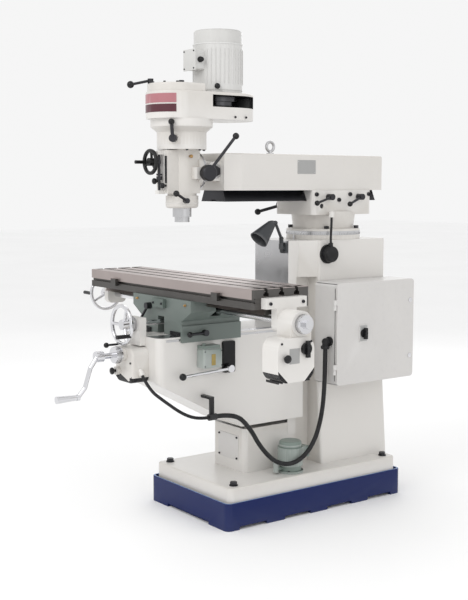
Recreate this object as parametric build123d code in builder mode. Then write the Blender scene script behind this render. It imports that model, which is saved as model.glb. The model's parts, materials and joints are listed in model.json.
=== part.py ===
"""Turret milling machine: base, column, knee, saddle, table, ram and tilting head.

Millimetres.  +Z is up, -Y is the operator's side, +X the operator's right.
The origin is the centre of the plinth where it stands on the floor.
"""

import math
import os

from build123d import *

# --- plinth, base and column ---------------------------------------------------
PLINTH_X = 638
PLINTH_Y = 1074
PLINTH_Z = 126
TRAY_FLOOR = 100
BASE_X = 610
BASE_Y = 1026
BASE_TOP = 190
COLUMN_TOP = 1274
COLUMN_REAR = 541
COLUMN_HALF = 178
WAY_FRONT = -42
WAY_HALF = 129
NUT_Y = -190

# --- knee, saddle and table ----------------------------------------------------
KNEE_HALF = 158
KNEE_FRONT = -790
KNEE_TOP = 872
CRANK_Z = 794
CROSS_Z = 925
TABLE_Y = -516
TABLE_X = 1334
TABLE_W = 298
TABLE_TOP = 1120
TABLE_UNDER = 1037
LEAD_Z = 985

# --- turret, ram and head ------------------------------------------------------
TURRET_Y = 285
RAM_BOTTOM = 1513
RAM_TOP = 1682
RAM_HALF = 135
RAM_REAR = 563
TILT_Y = -432
HEAD_Z = 1600
SWIVEL_FACE = -492
QUILL_Y = -559
QUILL_R = 43
MOTOR_Y = -359
MOTOR_R = 113
PINION_Y = -506

# --- cords ---------------------------------------------------------------------
LOOP_D = 22
CABLE_D = 12
CONDUIT_D = 15

# --- fits ----------------------------------------------------------------------
RUNNING = 0.05
GAP = 0.3

os.makedirs("parts", exist_ok=True)


def save(builder, node):
    """Label one finished sub-part and write it as a STEP file."""
    builder.part.label = node
    export_step(builder.part, f"parts/{node}.step")


def block(x0, x1, y0, y1, z0, z1, mode=Mode.ADD):
    """A box given by its two faces along each axis."""
    with Locations(((x0 + x1) / 2, (y0 + y1) / 2, (z0 + z1) / 2)):
        Box(x1 - x0, y1 - y0, z1 - z0, mode=mode)


def rod(start, end, radius, mode=Mode.ADD):
    """A round bar between two points."""
    along = Vector(*end) - Vector(*start)
    with Locations(Plane(origin=start, z_dir=along).location):
        Cylinder(radius, along.length, align=(Align.CENTER, Align.CENTER, Align.MIN), mode=mode)


def taper(start, end, r0, r1, mode=Mode.ADD):
    """A round cone between two points."""
    along = Vector(*end) - Vector(*start)
    with Locations(Plane(origin=start, z_dir=along).location):
        Cone(r0, r1, along.length, align=(Align.CENTER, Align.CENTER, Align.MIN), mode=mode)


def ball(centre, radius):
    """A ball knob."""
    with Locations(centre):
        Sphere(radius, rotation=(17, 31, 0))


def ring(start, end, outer, inner):
    """The rim of a handwheel; it comes first in its block, because it is bored."""
    rod(start, end, outer)
    rod(start, end, inner, mode=Mode.SUBTRACT)


def hexagon(start, end, across_flats):
    """A hexagonal head between two points."""
    along = Vector(*end) - Vector(*start)
    with BuildPart(mode=Mode.PRIVATE) as head:
        with BuildSketch():
            RegularPolygon(across_flats / 2, 6, major_radius=False)
        extrude(amount=along.length)
    add(head.part.moved(Plane(origin=start, z_dir=along).location))


def corner_radii(points, clearance=0.45):
    """Bend radius at each inner corner of a cord's route."""
    radii = []
    for before, here, after in zip(points, points[1:], points[2:]):
        a = Vector(*here) - Vector(*before)
        b = Vector(*after) - Vector(*here)
        half_turn = math.radians(a.get_angle(b)) / 2
        radii.append(clearance * min(a.length, b.length) / math.tan(half_turn))
    return radii


def bent_wire(points):
    """Straight runs joined by tangent arcs, one radius for each corner."""
    radii = corner_radii(points)
    pts = [Vector(*p) for p in points]
    at = pts[0]
    edges = []
    for before, here, after, radius in zip(pts, pts[1:], pts[2:], radii):
        into = (here - before).normalized()
        out = (after - here).normalized()
        half_turn = math.radians(into.get_angle(out)) / 2
        cut = radius * math.tan(half_turn)
        first = here - into * cut
        last = here + out * cut
        middle = here + (out - into).normalized() * (radius / math.cos(half_turn) - radius)
        edges.append(Edge.make_line(at, first))
        edges.append(Edge.make_three_point_arc(first, middle, last))
        at = last
    edges.append(Edge.make_line(at, pts[-1]))
    return Wire(edges)


def cord(node, points, diameter):
    """A plain tube along a cord's route."""
    path = bent_wire(points)
    start_plane = Plane(origin=points[0], z_dir=path % 0)
    with BuildPart() as tube:
        with BuildSketch(start_plane):
            Circle(diameter / 2)
        sweep(path=path)
    save(tube, node)
    rounded = [round(r) for r in corner_radii(points)]
    section = math.pi * diameter**2 / 4
    print(node, "radii", rounded, "length", round(path.length))
    print(node, "volume ratio", round(tube.part.volume / (section * path.length), 4))


# =============================================================================
# Plinth, base and column
# =============================================================================

RIM = 10
SKIRT = 16
BAY = (PLINTH_Y - 2 * SKIRT) / 4

with BuildPart() as plinth_tray:
    with BuildSketch():
        RectangleRounded(PLINTH_X, PLINTH_Y, 28)
    extrude(amount=PLINTH_Z)
    with BuildSketch(Plane.XY.offset(TRAY_FLOOR)):
        RectangleRounded(PLINTH_X - 2 * RIM, PLINTH_Y - 2 * RIM, 22)
    extrude(amount=PLINTH_Z, mode=Mode.SUBTRACT)
    # open underneath, with three cross ribs that reach the floor
    with BuildSketch():
        with GridLocations(0, BAY, 1, 4):
            Rectangle(PLINTH_X - 2 * SKIRT, BAY - 14)
    extrude(amount=TRAY_FLOOR - 14, mode=Mode.SUBTRACT)
    # shallow arches leave a foot at each corner and each rib
    for y in (-1.5 * BAY, -0.5 * BAY, 0.5 * BAY, 1.5 * BAY):
        block(-PLINTH_X, PLINTH_X, y - 78, y + 78, 0, 15, mode=Mode.SUBTRACT)
    for side in (-1, 1):
        y0, y1 = sorted((side * (PLINTH_Y / 2 - SKIRT - 4), side * PLINTH_Y / 2))
        block(-170, 170, y0, y1, 0, 15, mode=Mode.SUBTRACT)
    fillet(plinth_tray.edges().group_by(Axis.Z)[-1], radius=3)
save(plinth_tray, "plinth_tray")

ANCHOR_X = 262
ANCHOR_Y = 462
PUMP = (222, -100)

with BuildPart() as base_casting:
    with BuildSketch(Plane.XY.offset(TRAY_FLOOR)):
        RectangleRounded(BASE_X, BASE_Y, 26)
    extrude(amount=BASE_TOP - TRAY_FLOOR)
    fillet(base_casting.edges().group_by(Axis.Z)[-1], radius=8)
    with BuildSketch(Plane.XY.offset(TRAY_FLOOR)):
        Rectangle(BASE_X - 48, BASE_Y - 48)
    extrude(amount=BASE_TOP - TRAY_FLOOR - 22, mode=Mode.SUBTRACT)
    # solid pads under the anchor bolts
    for x in (-ANCHOR_X, ANCHOR_X):
        for y in (-ANCHOR_Y, ANCHOR_Y):
            rod((x, y, TRAY_FLOOR), (x, y, BASE_TOP - 10), 32)
            rod((x, y, TRAY_FLOOR), (x, y, BASE_TOP), 9.2, mode=Mode.SUBTRACT)
    # screw clearance under the pedestal and the pump well
    rod((0, NUT_Y, TRAY_FLOOR), (0, NUT_Y, BASE_TOP), 40, mode=Mode.SUBTRACT)
    rod((*PUMP, TRAY_FLOOR), (*PUMP, BASE_TOP), 46, mode=Mode.SUBTRACT)
save(base_casting, "base_casting")

with BuildPart() as anchor_bolts:
    for x in (-ANCHOR_X, ANCHOR_X):
        for y in (-ANCHOR_Y, ANCHOR_Y):
            rod((x, y, TRAY_FLOOR), (x, y, BASE_TOP + 5), 9)
            rod((x, y, BASE_TOP), (x, y, BASE_TOP + 4), 20)
            hexagon((x, y, BASE_TOP + 4), (x, y, BASE_TOP + 18), 28)
save(anchor_bolts, "anchor_bolts")

FLARE_TOP = 620
FLARE_HALF = 212
BOX_FRONT = 105
WALL = 18
BLOCK_BOTTOM = 1100
PEDESTAL_TOP = 400

with BuildPart() as column_casting:
    # rear box, flared towards the base
    with BuildSketch(Plane.XY.offset(BASE_TOP)):
        with Locations((0, (BOX_FRONT + COLUMN_REAR) / 2)):
            RectangleRounded(2 * FLARE_HALF, COLUMN_REAR - BOX_FRONT, 14)
    with BuildSketch(Plane.XY.offset(FLARE_TOP)):
        with Locations((0, (BOX_FRONT + COLUMN_REAR) / 2)):
            RectangleRounded(2 * COLUMN_HALF, COLUMN_REAR - BOX_FRONT, 14)
    loft()
    with BuildSketch(Plane.XY.offset(FLARE_TOP)):
        with Locations((0, (BOX_FRONT + COLUMN_REAR) / 2)):
            RectangleRounded(2 * COLUMN_HALF, COLUMN_REAR - BOX_FRONT, 14)
    extrude(amount=COLUMN_TOP - FLARE_TOP)
    # neck behind the ways, and the knee screw pedestal
    block(-104, 104, 8, BOX_FRONT + 20, BASE_TOP, COLUMN_TOP)
    block(-128, 128, -300, 8, BASE_TOP, PEDESTAL_TOP)
    fillet(
        column_casting.edges().filter_by(Axis.Z).sort_by(Axis.Y)[:2],
        radius=24,
    )
    # vertical ways, square edged
    block(-WAY_HALF, WAY_HALF, WAY_FRONT, 8, PEDESTAL_TOP - 60, COLUMN_TOP)
    # head of the column, its cheeks sweeping out to the full width
    with BuildSketch(Plane.XY.offset(BLOCK_BOTTOM)):
        with BuildLine():
            Polyline(
                (-WAY_HALF, WAY_FRONT),
                (WAY_HALF, WAY_FRONT),
                (WAY_HALF, 20),
                (COLUMN_HALF, BOX_FRONT + 20),
                (-COLUMN_HALF, BOX_FRONT + 20),
                (-WAY_HALF, 20),
                close=True,
            )
        make_face()
    extrude(amount=COLUMN_TOP - BLOCK_BOTTOM)
    # hollow inside
    inner_y = (BOX_FRONT + WALL + COLUMN_REAR - WALL) / 2
    inner_depth = COLUMN_REAR - BOX_FRONT - 2 * WALL
    with BuildSketch(Plane.XY.offset(BASE_TOP)):
        with Locations((0, inner_y)):
            Rectangle(2 * (FLARE_HALF - WALL), inner_depth)
    with BuildSketch(Plane.XY.offset(FLARE_TOP)):
        with Locations((0, inner_y)):
            Rectangle(2 * (COLUMN_HALF - WALL), inner_depth)
    loft(mode=Mode.SUBTRACT)
    block(
        -(COLUMN_HALF - WALL),
        COLUMN_HALF - WALL,
        BOX_FRONT + WALL,
        COLUMN_REAR - WALL,
        FLARE_TOP,
        COLUMN_TOP - 24,
        mode=Mode.SUBTRACT,
    )
    block(-86, 86, 30, BOX_FRONT + 40, PEDESTAL_TOP, COLUMN_TOP - 24, mode=Mode.SUBTRACT)
    block(-110, 110, -282, -10, BASE_TOP, PEDESTAL_TOP - 20, mode=Mode.SUBTRACT)
    block(-86, 86, -11, BOX_FRONT - 2, BASE_TOP, PEDESTAL_TOP - 20, mode=Mode.SUBTRACT)
    # tube that carries the elevating nut
    rod((0, NUT_Y, PEDESTAL_TOP - 20), (0, NUT_Y, 490), 45)
    rod((0, NUT_Y, PEDESTAL_TOP - 30), (0, NUT_Y, 490), 30, mode=Mode.SUBTRACT)
    # bore for the turret spigot
    rod((0, TURRET_Y, COLUMN_TOP - 40), (0, TURRET_Y, COLUMN_TOP), 85, mode=Mode.SUBTRACT)
save(column_casting, "column_casting")

with BuildPart() as elevating_nut:
    rod((0, NUT_Y, 440), (0, NUT_Y, 490), 29.95)
    rod((0, NUT_Y, 490), (0, NUT_Y, 505), 44)
    rod((0, NUT_Y, 430), (0, NUT_Y, 510), 15 + RUNNING, mode=Mode.SUBTRACT)
save(elevating_nut, "elevating_nut")

# =============================================================================
# Electrical cabinet, lubrication, coolant and lamp
# =============================================================================

CAB_X0 = 184
CAB_X1 = 331
CAB_Y0 = 81
CAB_Y1 = 587
CAB_Z0 = 594
CAB_Z1 = 1080
DOOR_X1 = 341
HINGE = (334, 73)

with BuildPart() as electrical_cabinet:
    block(CAB_X0, CAB_X1, CAB_Y0, CAB_Y1, CAB_Z0, CAB_Z1)
    fillet(electrical_cabinet.edges().filter_by(Axis.X), radius=18)
    block(CAB_X0 + 4, CAB_X1, CAB_Y0 + 4, CAB_Y1 - 4, CAB_Z0 + 4, CAB_Z1 - 4, mode=Mode.SUBTRACT)
    # stand-offs to the column side
    for z in (CAB_Z0 + 60, CAB_Z1 - 60):
        for y in (170, 480):
            rod((COLUMN_HALF, y, z), (CAB_X0 + 1, y, z), 16)
    # mounting plate with contactors and a transformer
    block(CAB_X0 + 4, CAB_X0 + 10, CAB_Y0 + 30, CAB_Y1 - 30, CAB_Z0 + 30, CAB_Z1 - 30)
    for y in (150, 230, 310, 390):
        block(CAB_X0 + 10, CAB_X0 + 85, y, y + 58, 900, 985)
    block(CAB_X0 + 10, CAB_X0 + 105, 160, 290, 650, 760)
    block(CAB_X0 + 10, CAB_X0 + 60, 330, 510, 670, 740)
    # hinge leaves and pins on the front edge
    for z in (CAB_Z0 + 90, CAB_Z1 - 90):
        block(HINGE[0] - 8, HINGE[0], HINGE[1], CAB_Y0, z - 36, z - 13)
        rod((*HINGE, z - 36), (*HINGE, z - 13), 8)
        rod((*HINGE, z - 36), (*HINGE, z + 10), 4)
save(electrical_cabinet, "electrical_cabinet")

with BuildPart() as cabinet_door:
    block(CAB_X1 + GAP, DOOR_X1, CAB_Y0 + 2, CAB_Y1, CAB_Z0, CAB_Z1)
    fillet(cabinet_door.edges().filter_by(Axis.X), radius=18)
    fillet(cabinet_door.faces().sort_by(Axis.X)[-1].edges(), radius=3)
    block(
        CAB_X1,
        DOOR_X1 - 3,
        CAB_Y0 + 22,
        CAB_Y1 - 20,
        CAB_Z0 + 20,
        CAB_Z1 - 20,
        mode=Mode.SUBTRACT,
    )
    for z in (CAB_Z0 + 90, CAB_Z1 - 90):
        block(HINGE[0], DOOR_X1 - 1, HINGE[1], CAB_Y0 + 4, z - 12, z + 12)
        rod((*HINGE, z - 12), (*HINGE, z + 12), 8)
        rod((*HINGE, z - 40), (*HINGE, z + 40), 4 + RUNNING, mode=Mode.SUBTRACT)
    # switch spindle hole
    rod((DOOR_X1 - 10, 247, 835), (DOOR_X1 + 5, 247, 835), 8, mode=Mode.SUBTRACT)
    block(DOOR_X1 - 1, DOOR_X1 + 5, 222, 272, 795, 875)
    rod((DOOR_X1 - 10, 247, 835), (DOOR_X1 + 8, 247, 835), 8, mode=Mode.SUBTRACT)
save(cabinet_door, "cabinet_door")

with BuildPart() as main_switch:
    rod((DOOR_X1 - 8, 247, 835), (DOOR_X1 + 6, 247, 835), 8 - RUNNING)
    rod((DOOR_X1 + 5 + GAP, 247, 835), (DOOR_X1 + 14, 247, 835), 21)
    block(DOOR_X1 + 13, DOOR_X1 + 28, 240, 254, 808, 862)
    fillet(main_switch.edges().filter_by(Axis.X).sort_by(Axis.Z)[-2:], radius=5)
save(main_switch, "main_switch")

ELBOW = (292, 52, 770)

with BuildPart() as hose_elbow:
    rod((ELBOW[0], CAB_Y0, ELBOW[2] + 34), (ELBOW[0], CAB_Y0 - 10, ELBOW[2] + 34), 22)
    rod((ELBOW[0], CAB_Y0, ELBOW[2] + 34), (ELBOW[0], ELBOW[1], ELBOW[2] + 34), 15)
    ball((ELBOW[0], ELBOW[1], ELBOW[2] + 34), 17)
    rod((ELBOW[0], ELBOW[1], ELBOW[2] + 34), ELBOW, 15)
    rod((ELBOW[0], ELBOW[1], ELBOW[2] + 14), ELBOW, 19)
save(hose_elbow, "hose_elbow")

CLIP_X = 234
CLIP_Y = -538
CLIP_Z = 512
loop_route = [
    ELBOW,
    (292, 52, 602),
    (294, 30, 436),
    (298, -28, 312),
    (300, -128, 246),
    (280, -226, 256),
    (254, -300, 336),
    (240, -356, 440),
    (CLIP_X, -434, CLIP_Z),
    (CLIP_X, CLIP_Y + GAP, CLIP_Z),
]
cord("loop_hose", loop_route, LOOP_D)

with BuildPart() as coolant_pump:
    rod((*PUMP, BASE_TOP), (*PUMP, BASE_TOP + 10), 62)
    rod((*PUMP, BASE_TOP + 10), (*PUMP, BASE_TOP + 34), 52)
    rod((*PUMP, BASE_TOP + 34), (*PUMP, BASE_TOP + 120), 60)
    rod((*PUMP, BASE_TOP + 120), (*PUMP, BASE_TOP + 150), 53)
    fillet(coolant_pump.faces().sort_by(Axis.Z)[-1].edges(), radius=10)
    # impeller tube hanging in the base
    rod((*PUMP, TRAY_FLOOR + 12), (*PUMP, BASE_TOP), 30)
    # terminal box and outlet elbow
    block(PUMP[0] - 32, PUMP[0] + 32, PUMP[1] + 50, PUMP[1] + 90, BASE_TOP + 66, BASE_TOP + 116)
    rod((PUMP[0], PUMP[1] - 40, BASE_TOP + 22), (PUMP[0], PUMP[1] - 86, BASE_TOP + 22), 9)
    rod((PUMP[0], PUMP[1] - 86, BASE_TOP + 8), (PUMP[0], PUMP[1] - 86, BASE_TOP + 60), 13)
save(coolant_pump, "coolant_pump")

GLAND = (COLUMN_HALF, 158, 1208)

with BuildPart() as column_gland:
    rod(GLAND, (GLAND[0] + 10, GLAND[1], GLAND[2]), 46)
    rod((GLAND[0] + 10, GLAND[1], GLAND[2]), (GLAND[0] + 46, GLAND[1], GLAND[2]), 38)
    fillet(column_gland.faces().sort_by(Axis.X)[-1].edges(), radius=9)
    rod((GLAND[0] + 26, GLAND[1], 1240), (GLAND[0] + 26, GLAND[1], 1262), 11)
save(column_gland, "column_gland")

# the cable rises almost straight into a clip that stands out from the turret
TURRET_CLIP = (188, 176)
CABLE_TOP = 1384
cable_route = [
    (GLAND[0] + 26, GLAND[1], 1262),
    (GLAND[0] + 26, GLAND[1], 1303),
    (*TURRET_CLIP, 1344),
    (*TURRET_CLIP, CABLE_TOP - 0.8),
]
cord("motor_cable", cable_route, CABLE_D)

with BuildPart() as lamp_base:
    block(WAY_HALF - 48, WAY_HALF - 4, WAY_FRONT - 14, WAY_FRONT, 1216, 1266)
    fillet(lamp_base.edges().filter_by(Axis.Y), radius=8)
    rod((105, WAY_FRONT - 14, 1241), (105, WAY_FRONT - 24, 1241), 16)
    rod((105, WAY_FRONT - 24, 1236), (105, WAY_FRONT - 24, 1262), 12)
save(lamp_base, "lamp_base")

ARM_FOOT = (105, WAY_FRONT - 24, 1262 + GAP)
LAMP_X = 150
LAMP_Y = -152
LAMP_Z = 1362

with BuildPart() as lamp_arm:
    elbow = (ARM_FOOT[0], ARM_FOOT[1], 1286)
    wrist = (LAMP_X, LAMP_Y + 14, LAMP_Z)
    rod(ARM_FOOT, elbow, 10)
    ball(elbow, 11)
    rod(elbow, wrist, 7)
    ball(wrist, 11)
    rod(wrist, (LAMP_X, LAMP_Y, LAMP_Z), 10)
save(lamp_arm, "lamp_arm")

with BuildPart() as lamp_head:
    # the shade hangs from the pivot and opens forwards and down
    rod((LAMP_X, LAMP_Y - GAP, LAMP_Z), (LAMP_X, LAMP_Y - 14, LAMP_Z), 12)
    taper((LAMP_X, LAMP_Y - 8, LAMP_Z - 4), (LAMP_X, LAMP_Y - 84, LAMP_Z - 76), 20, 46)
    taper((LAMP_X, LAMP_Y - 14, LAMP_Z - 10), (LAMP_X, LAMP_Y - 86, LAMP_Z - 78), 14, 43, mode=Mode.SUBTRACT)
    # bulb holder and bulb
    rod((LAMP_X, LAMP_Y - 12, LAMP_Z - 8), (LAMP_X, LAMP_Y - 42, LAMP_Z - 37), 13)
    ball((LAMP_X, LAMP_Y - 50, LAMP_Z - 44.5), 22)
save(lamp_head, "lamp_head")

# =============================================================================
# Turret and ram
# =============================================================================

SEAT_FRONT = 95
SEAT_REAR = 475
TAIL_TOP = 75
TAIL_FOOT = 98
TAIL_Z = 1462

with BuildPart() as turret_swivel:
    rod((0, TURRET_Y, COLUMN_TOP + GAP), (0, TURRET_Y, 1326), 183)
    fillet(turret_swivel.faces().sort_by(Axis.Z)[-1].edges(), radius=6)
    taper((0, TURRET_Y, 1326), (0, TURRET_Y, 1410), 150, 160)
    rod((0, TURRET_Y, 1240), (0, TURRET_Y, COLUMN_TOP + GAP), 85 - RUNNING)
    block(-146, 146, SEAT_FRONT, SEAT_REAR, 1395, RAM_BOTTOM - GAP)
    fillet(turret_swivel.edges().filter_by(Axis.Z), radius=22)
    # dovetail seat for the ram
    with BuildSketch(Plane.XZ.offset(-SEAT_FRONT + 10)):
        with BuildLine():
            Polyline(
                (-TAIL_TOP - GAP, RAM_BOTTOM + 1),
                (-TAIL_FOOT - GAP, TAIL_Z - GAP),
                (TAIL_FOOT + GAP, TAIL_Z - GAP),
                (TAIL_TOP + GAP, RAM_BOTTOM + 1),
                close=True,
            )
        make_face()
    extrude(amount=-(SEAT_REAR - SEAT_FRONT + 20), mode=Mode.SUBTRACT)
    # cored out round the pinion and the centre stud
    rod((0, TURRET_Y, 1240), (0, TURRET_Y, 1430), 62, mode=Mode.SUBTRACT)
    rod((-160, 150, 1437), (160, 150, 1437), 12 + RUNNING, mode=Mode.SUBTRACT)
    block(-18, 18, 122, 178, 1408, TAIL_Z, mode=Mode.SUBTRACT)
    # cable clip
    rod((120, 215, CABLE_TOP + 14), (*TURRET_CLIP, CABLE_TOP + 14), 9)
    rod((*TURRET_CLIP, CABLE_TOP), (*TURRET_CLIP, CABLE_TOP + 28), 13)
save(turret_swivel, "turret_swivel")

with BuildPart() as turret_bolts:
    for angle in (35, 145, 215, 325):
        x = 168 * math.cos(math.radians(angle))
        y = TURRET_Y + 168 * math.sin(math.radians(angle))
        hexagon((x, y, 1326), (x, y, 1340), 22)
save(turret_bolts, "turret_bolts")

with BuildPart() as ram_pinion:
    rod((-176, 150, 1437), (140, 150, 1437), 12)
    rod((-16, 150, 1437), (16, 150, 1437), 25)
    rod((-178, 150, 1437), (-152, 150, 1437), 24)
    rod((-168, 150, 1437), (-190, 20, 1405), 8)
    ball((-190, 20, 1405), 16)
save(ram_pinion, "ram_pinion")

with BuildPart() as ram_lock_front:
    rod((146, 190, 1480), (182, 190, 1480), 15)
    rod((172, 190, 1480), (182, 90, 1452), 6)
    ball((182, 90, 1452), 13)
save(ram_lock_front, "ram_lock_front")

with BuildPart() as ram_lock_rear:
    rod((146, 385, 1480), (182, 385, 1480), 15)
    rod((172, 385, 1480), (182, 300, 1446), 6)
    ball((182, 300, 1446), 13)
save(ram_lock_rear, "ram_lock_rear")

RAM_FRONT = -405
NOSE_HALF = 112
CHEEK_R = 44
CHEEK_OUT = 83
TAIL_FRONT = -385
TAIL_REAR = 545
PIN_R = 18

with BuildPart() as ram_casting:
    with BuildSketch(Plane.XY.offset(RAM_BOTTOM)):
        with BuildLine():
            Polyline(
                (-NOSE_HALF, RAM_FRONT),
                (NOSE_HALF, RAM_FRONT),
                (RAM_HALF, -320),
                (RAM_HALF, RAM_REAR),
                (-RAM_HALF, RAM_REAR),
                (-RAM_HALF, -320),
                close=True,
            )
        make_face()
    extrude(amount=RAM_TOP - RAM_BOTTOM)
    fillet(ram_casting.edges().filter_by(Axis.Z).sort_by(Axis.Y)[-2:], radius=16)
    fillet(ram_casting.faces().sort_by(Axis.Z)[-1].edges(), radius=10)
    # hollow, closed at both ends
    block(-94, 94, RAM_FRONT + 26, -330, RAM_BOTTOM + 20, RAM_TOP - 18, mode=Mode.SUBTRACT)
    block(-117, 117, -330, RAM_REAR - 18, RAM_BOTTOM + 20, RAM_TOP - 18, mode=Mode.SUBTRACT)
    # dovetail under the ram
    with BuildSketch(Plane.XZ.offset(-TAIL_FRONT)):
        with BuildLine():
            Polyline(
                (-TAIL_TOP, RAM_BOTTOM + 2),
                (-TAIL_TOP, RAM_BOTTOM),
                (-TAIL_FOOT, TAIL_Z),
                (TAIL_FOOT, TAIL_Z),
                (TAIL_TOP, RAM_BOTTOM),
                (TAIL_TOP, RAM_BOTTOM + 2),
                close=True,
            )
        make_face()
    extrude(amount=-(TAIL_REAR - TAIL_FRONT))
    # groove with the rack for the pinion
    block(-17, 17, TAIL_FRONT, TAIL_REAR, TAIL_Z, TAIL_Z + 8, mode=Mode.SUBTRACT)
    block(-12, 12, TAIL_FRONT + 15, TAIL_REAR - 15, TAIL_Z + 1, TAIL_Z + 9)
    # fork that carries the tilting knuckle
    for side in (-1, 1):
        x0, x1 = sorted((side * 66, side * CHEEK_OUT))
        block(x0, x1, TILT_Y, RAM_FRONT + 4, HEAD_Z - CHEEK_R, HEAD_Z + CHEEK_R)
        rod((x0, TILT_Y, HEAD_Z), (x1, TILT_Y, HEAD_Z), CHEEK_R)
    rod((-120, TILT_Y, HEAD_Z), (120, TILT_Y, HEAD_Z), PIN_R, mode=Mode.SUBTRACT)
    # room for the knuckle's round back
    rod((-66, TILT_Y, HEAD_Z), (66, TILT_Y, HEAD_Z), CHEEK_R + 1, mode=Mode.SUBTRACT)
save(ram_casting, "ram_casting")

with BuildPart() as lifting_eye:
    rod((0, -53, RAM_TOP), (0, -53, RAM_TOP + 8), 18)
    rod((0, -53, RAM_TOP + 6), (0, -53, RAM_TOP + 18), 9)
    with Locations(Location((0, -53, RAM_TOP + 38), (0, 90, 0))):
        Torus(22, 7)
save(lifting_eye, "lifting_eye")

with BuildPart() as knuckle_pin:
    rod((-CHEEK_OUT - 2, TILT_Y, HEAD_Z), (CHEEK_OUT + 2, TILT_Y, HEAD_Z), PIN_R - RUNNING)
    for side in (-1, 1):
        hexagon((side * CHEEK_OUT, TILT_Y, HEAD_Z), (side * (CHEEK_OUT + 5), TILT_Y, HEAD_Z), 46)
save(knuckle_pin, "knuckle_pin")

# =============================================================================
# Knuckle and head
# =============================================================================

with BuildPart() as knuckle:
    rod((-65, TILT_Y, HEAD_Z), (65, TILT_Y, HEAD_Z), CHEEK_R)
    block(-65, 65, SWIVEL_FACE + 14, TILT_Y, HEAD_Z - CHEEK_R, HEAD_Z + CHEEK_R)
    rod((0, SWIVEL_FACE, HEAD_Z), (0, SWIVEL_FACE + 14, HEAD_Z), 85)
    rod((-70, TILT_Y, HEAD_Z), (70, TILT_Y, HEAD_Z), PIN_R, mode=Mode.SUBTRACT)
save(knuckle, "knuckle")

FLANGE_Z = 1716
BELT_FLOOR = 1830
HOUSING_LOW = 1434
FRONT_ARC = -600
REAR_ARC = -325
FRONT_R = 125
REAR_R = 135

with BuildPart() as quill_housing:
    rod((0, QUILL_Y, HOUSING_LOW), (0, QUILL_Y, FLANGE_Z), 66)
    # body that joins the tube to the swivel face
    block(-66, 66, QUILL_Y, SWIVEL_FACE - 12, 1500, FLANGE_Z)
    rod((0, SWIVEL_FACE - GAP, HEAD_Z), (0, SWIVEL_FACE - 22, HEAD_Z), 85)
    rod((0, QUILL_Y, FLANGE_Z - 20), (0, QUILL_Y, FLANGE_Z), 112)
    # lower clamp ring and its rounded front
    rod((0, QUILL_Y, HOUSING_LOW), (0, QUILL_Y, HOUSING_LOW + 56), 74)
    fillet(quill_housing.faces().sort_by(Axis.Z)[0].edges(), radius=12)
    # front apron for the fine feed and the depth stop
    block(-46, 46, QUILL_Y - 104, QUILL_Y - 40, 1500, FLANGE_Z - 24)
    block(-14, 14, QUILL_Y - 134, QUILL_Y - 100, 1498, 1514)
    block(-14, 14, QUILL_Y - 134, QUILL_Y - 100, FLANGE_Z - 44, FLANGE_Z - 28)
    # coarse feed boss on the right
    block(50, 104, -548, SWIVEL_FACE - 1, 1565, 1617)
    block(-78, -50, -540, SWIVEL_FACE - 1, 1571, 1611)
    # bores
    rod((0, QUILL_Y, 1400), (0, QUILL_Y, FLANGE_Z), QUILL_R + RUNNING, mode=Mode.SUBTRACT)
    rod((-66, PINION_Y, 1591), (110, PINION_Y, 1591), 9 + RUNNING, mode=Mode.SUBTRACT)
    block(-14, 14, QUILL_Y + 30, PINION_Y + 12.5, 1577, 1605, mode=Mode.SUBTRACT)
save(quill_housing, "quill_housing")

with BuildPart() as quill_stop_rod:
    rod((0, QUILL_Y - 121, 1514), (0, QUILL_Y - 121, FLANGE_Z - 44), 6)
    rod((0, QUILL_Y - 121, 1560), (0, QUILL_Y - 121, 1576), 13)
    rod((0, QUILL_Y - 121, 1580), (0, QUILL_Y - 121, 1588), 13)
save(quill_stop_rod, "quill_stop_rod")

with BuildPart() as back_gear_housing:
    rod((0, QUILL_Y, FLANGE_Z), (0, QUILL_Y, 1772), 112)
    taper((0, QUILL_Y, 1772), (0, QUILL_Y, 1796), 112, 140)
    rod((0, QUILL_Y, 1796), (0, QUILL_Y, BELT_FLOOR), 140)
    # gear space inside
    rod((0, QUILL_Y, FLANGE_Z + 12), (0, QUILL_Y, 1792), 98, mode=Mode.SUBTRACT)
    rod((0, QUILL_Y, 1792), (0, QUILL_Y, BELT_FLOOR - 10), 124, mode=Mode.SUBTRACT)
    rod((0, QUILL_Y, FLANGE_Z), (0, QUILL_Y, FLANGE_Z + 12), 44, mode=Mode.SUBTRACT)
    rod((0, QUILL_Y, BELT_FLOOR - 10), (0, QUILL_Y, BELT_FLOOR), 36, mode=Mode.SUBTRACT)
    # boss for the range lever
    lever_dir = Vector(0.646, -0.764, 0)
    boss_in = Vector(0, QUILL_Y, 1742) + lever_dir * 104
    boss_out = Vector(0, QUILL_Y, 1742) + lever_dir * 122
    rod(tuple(boss_in), tuple(boss_out), 20)
save(back_gear_housing, "back_gear_housing")


HOUSING_TOP = 1950
BONNET_TOP = 1985

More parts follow.
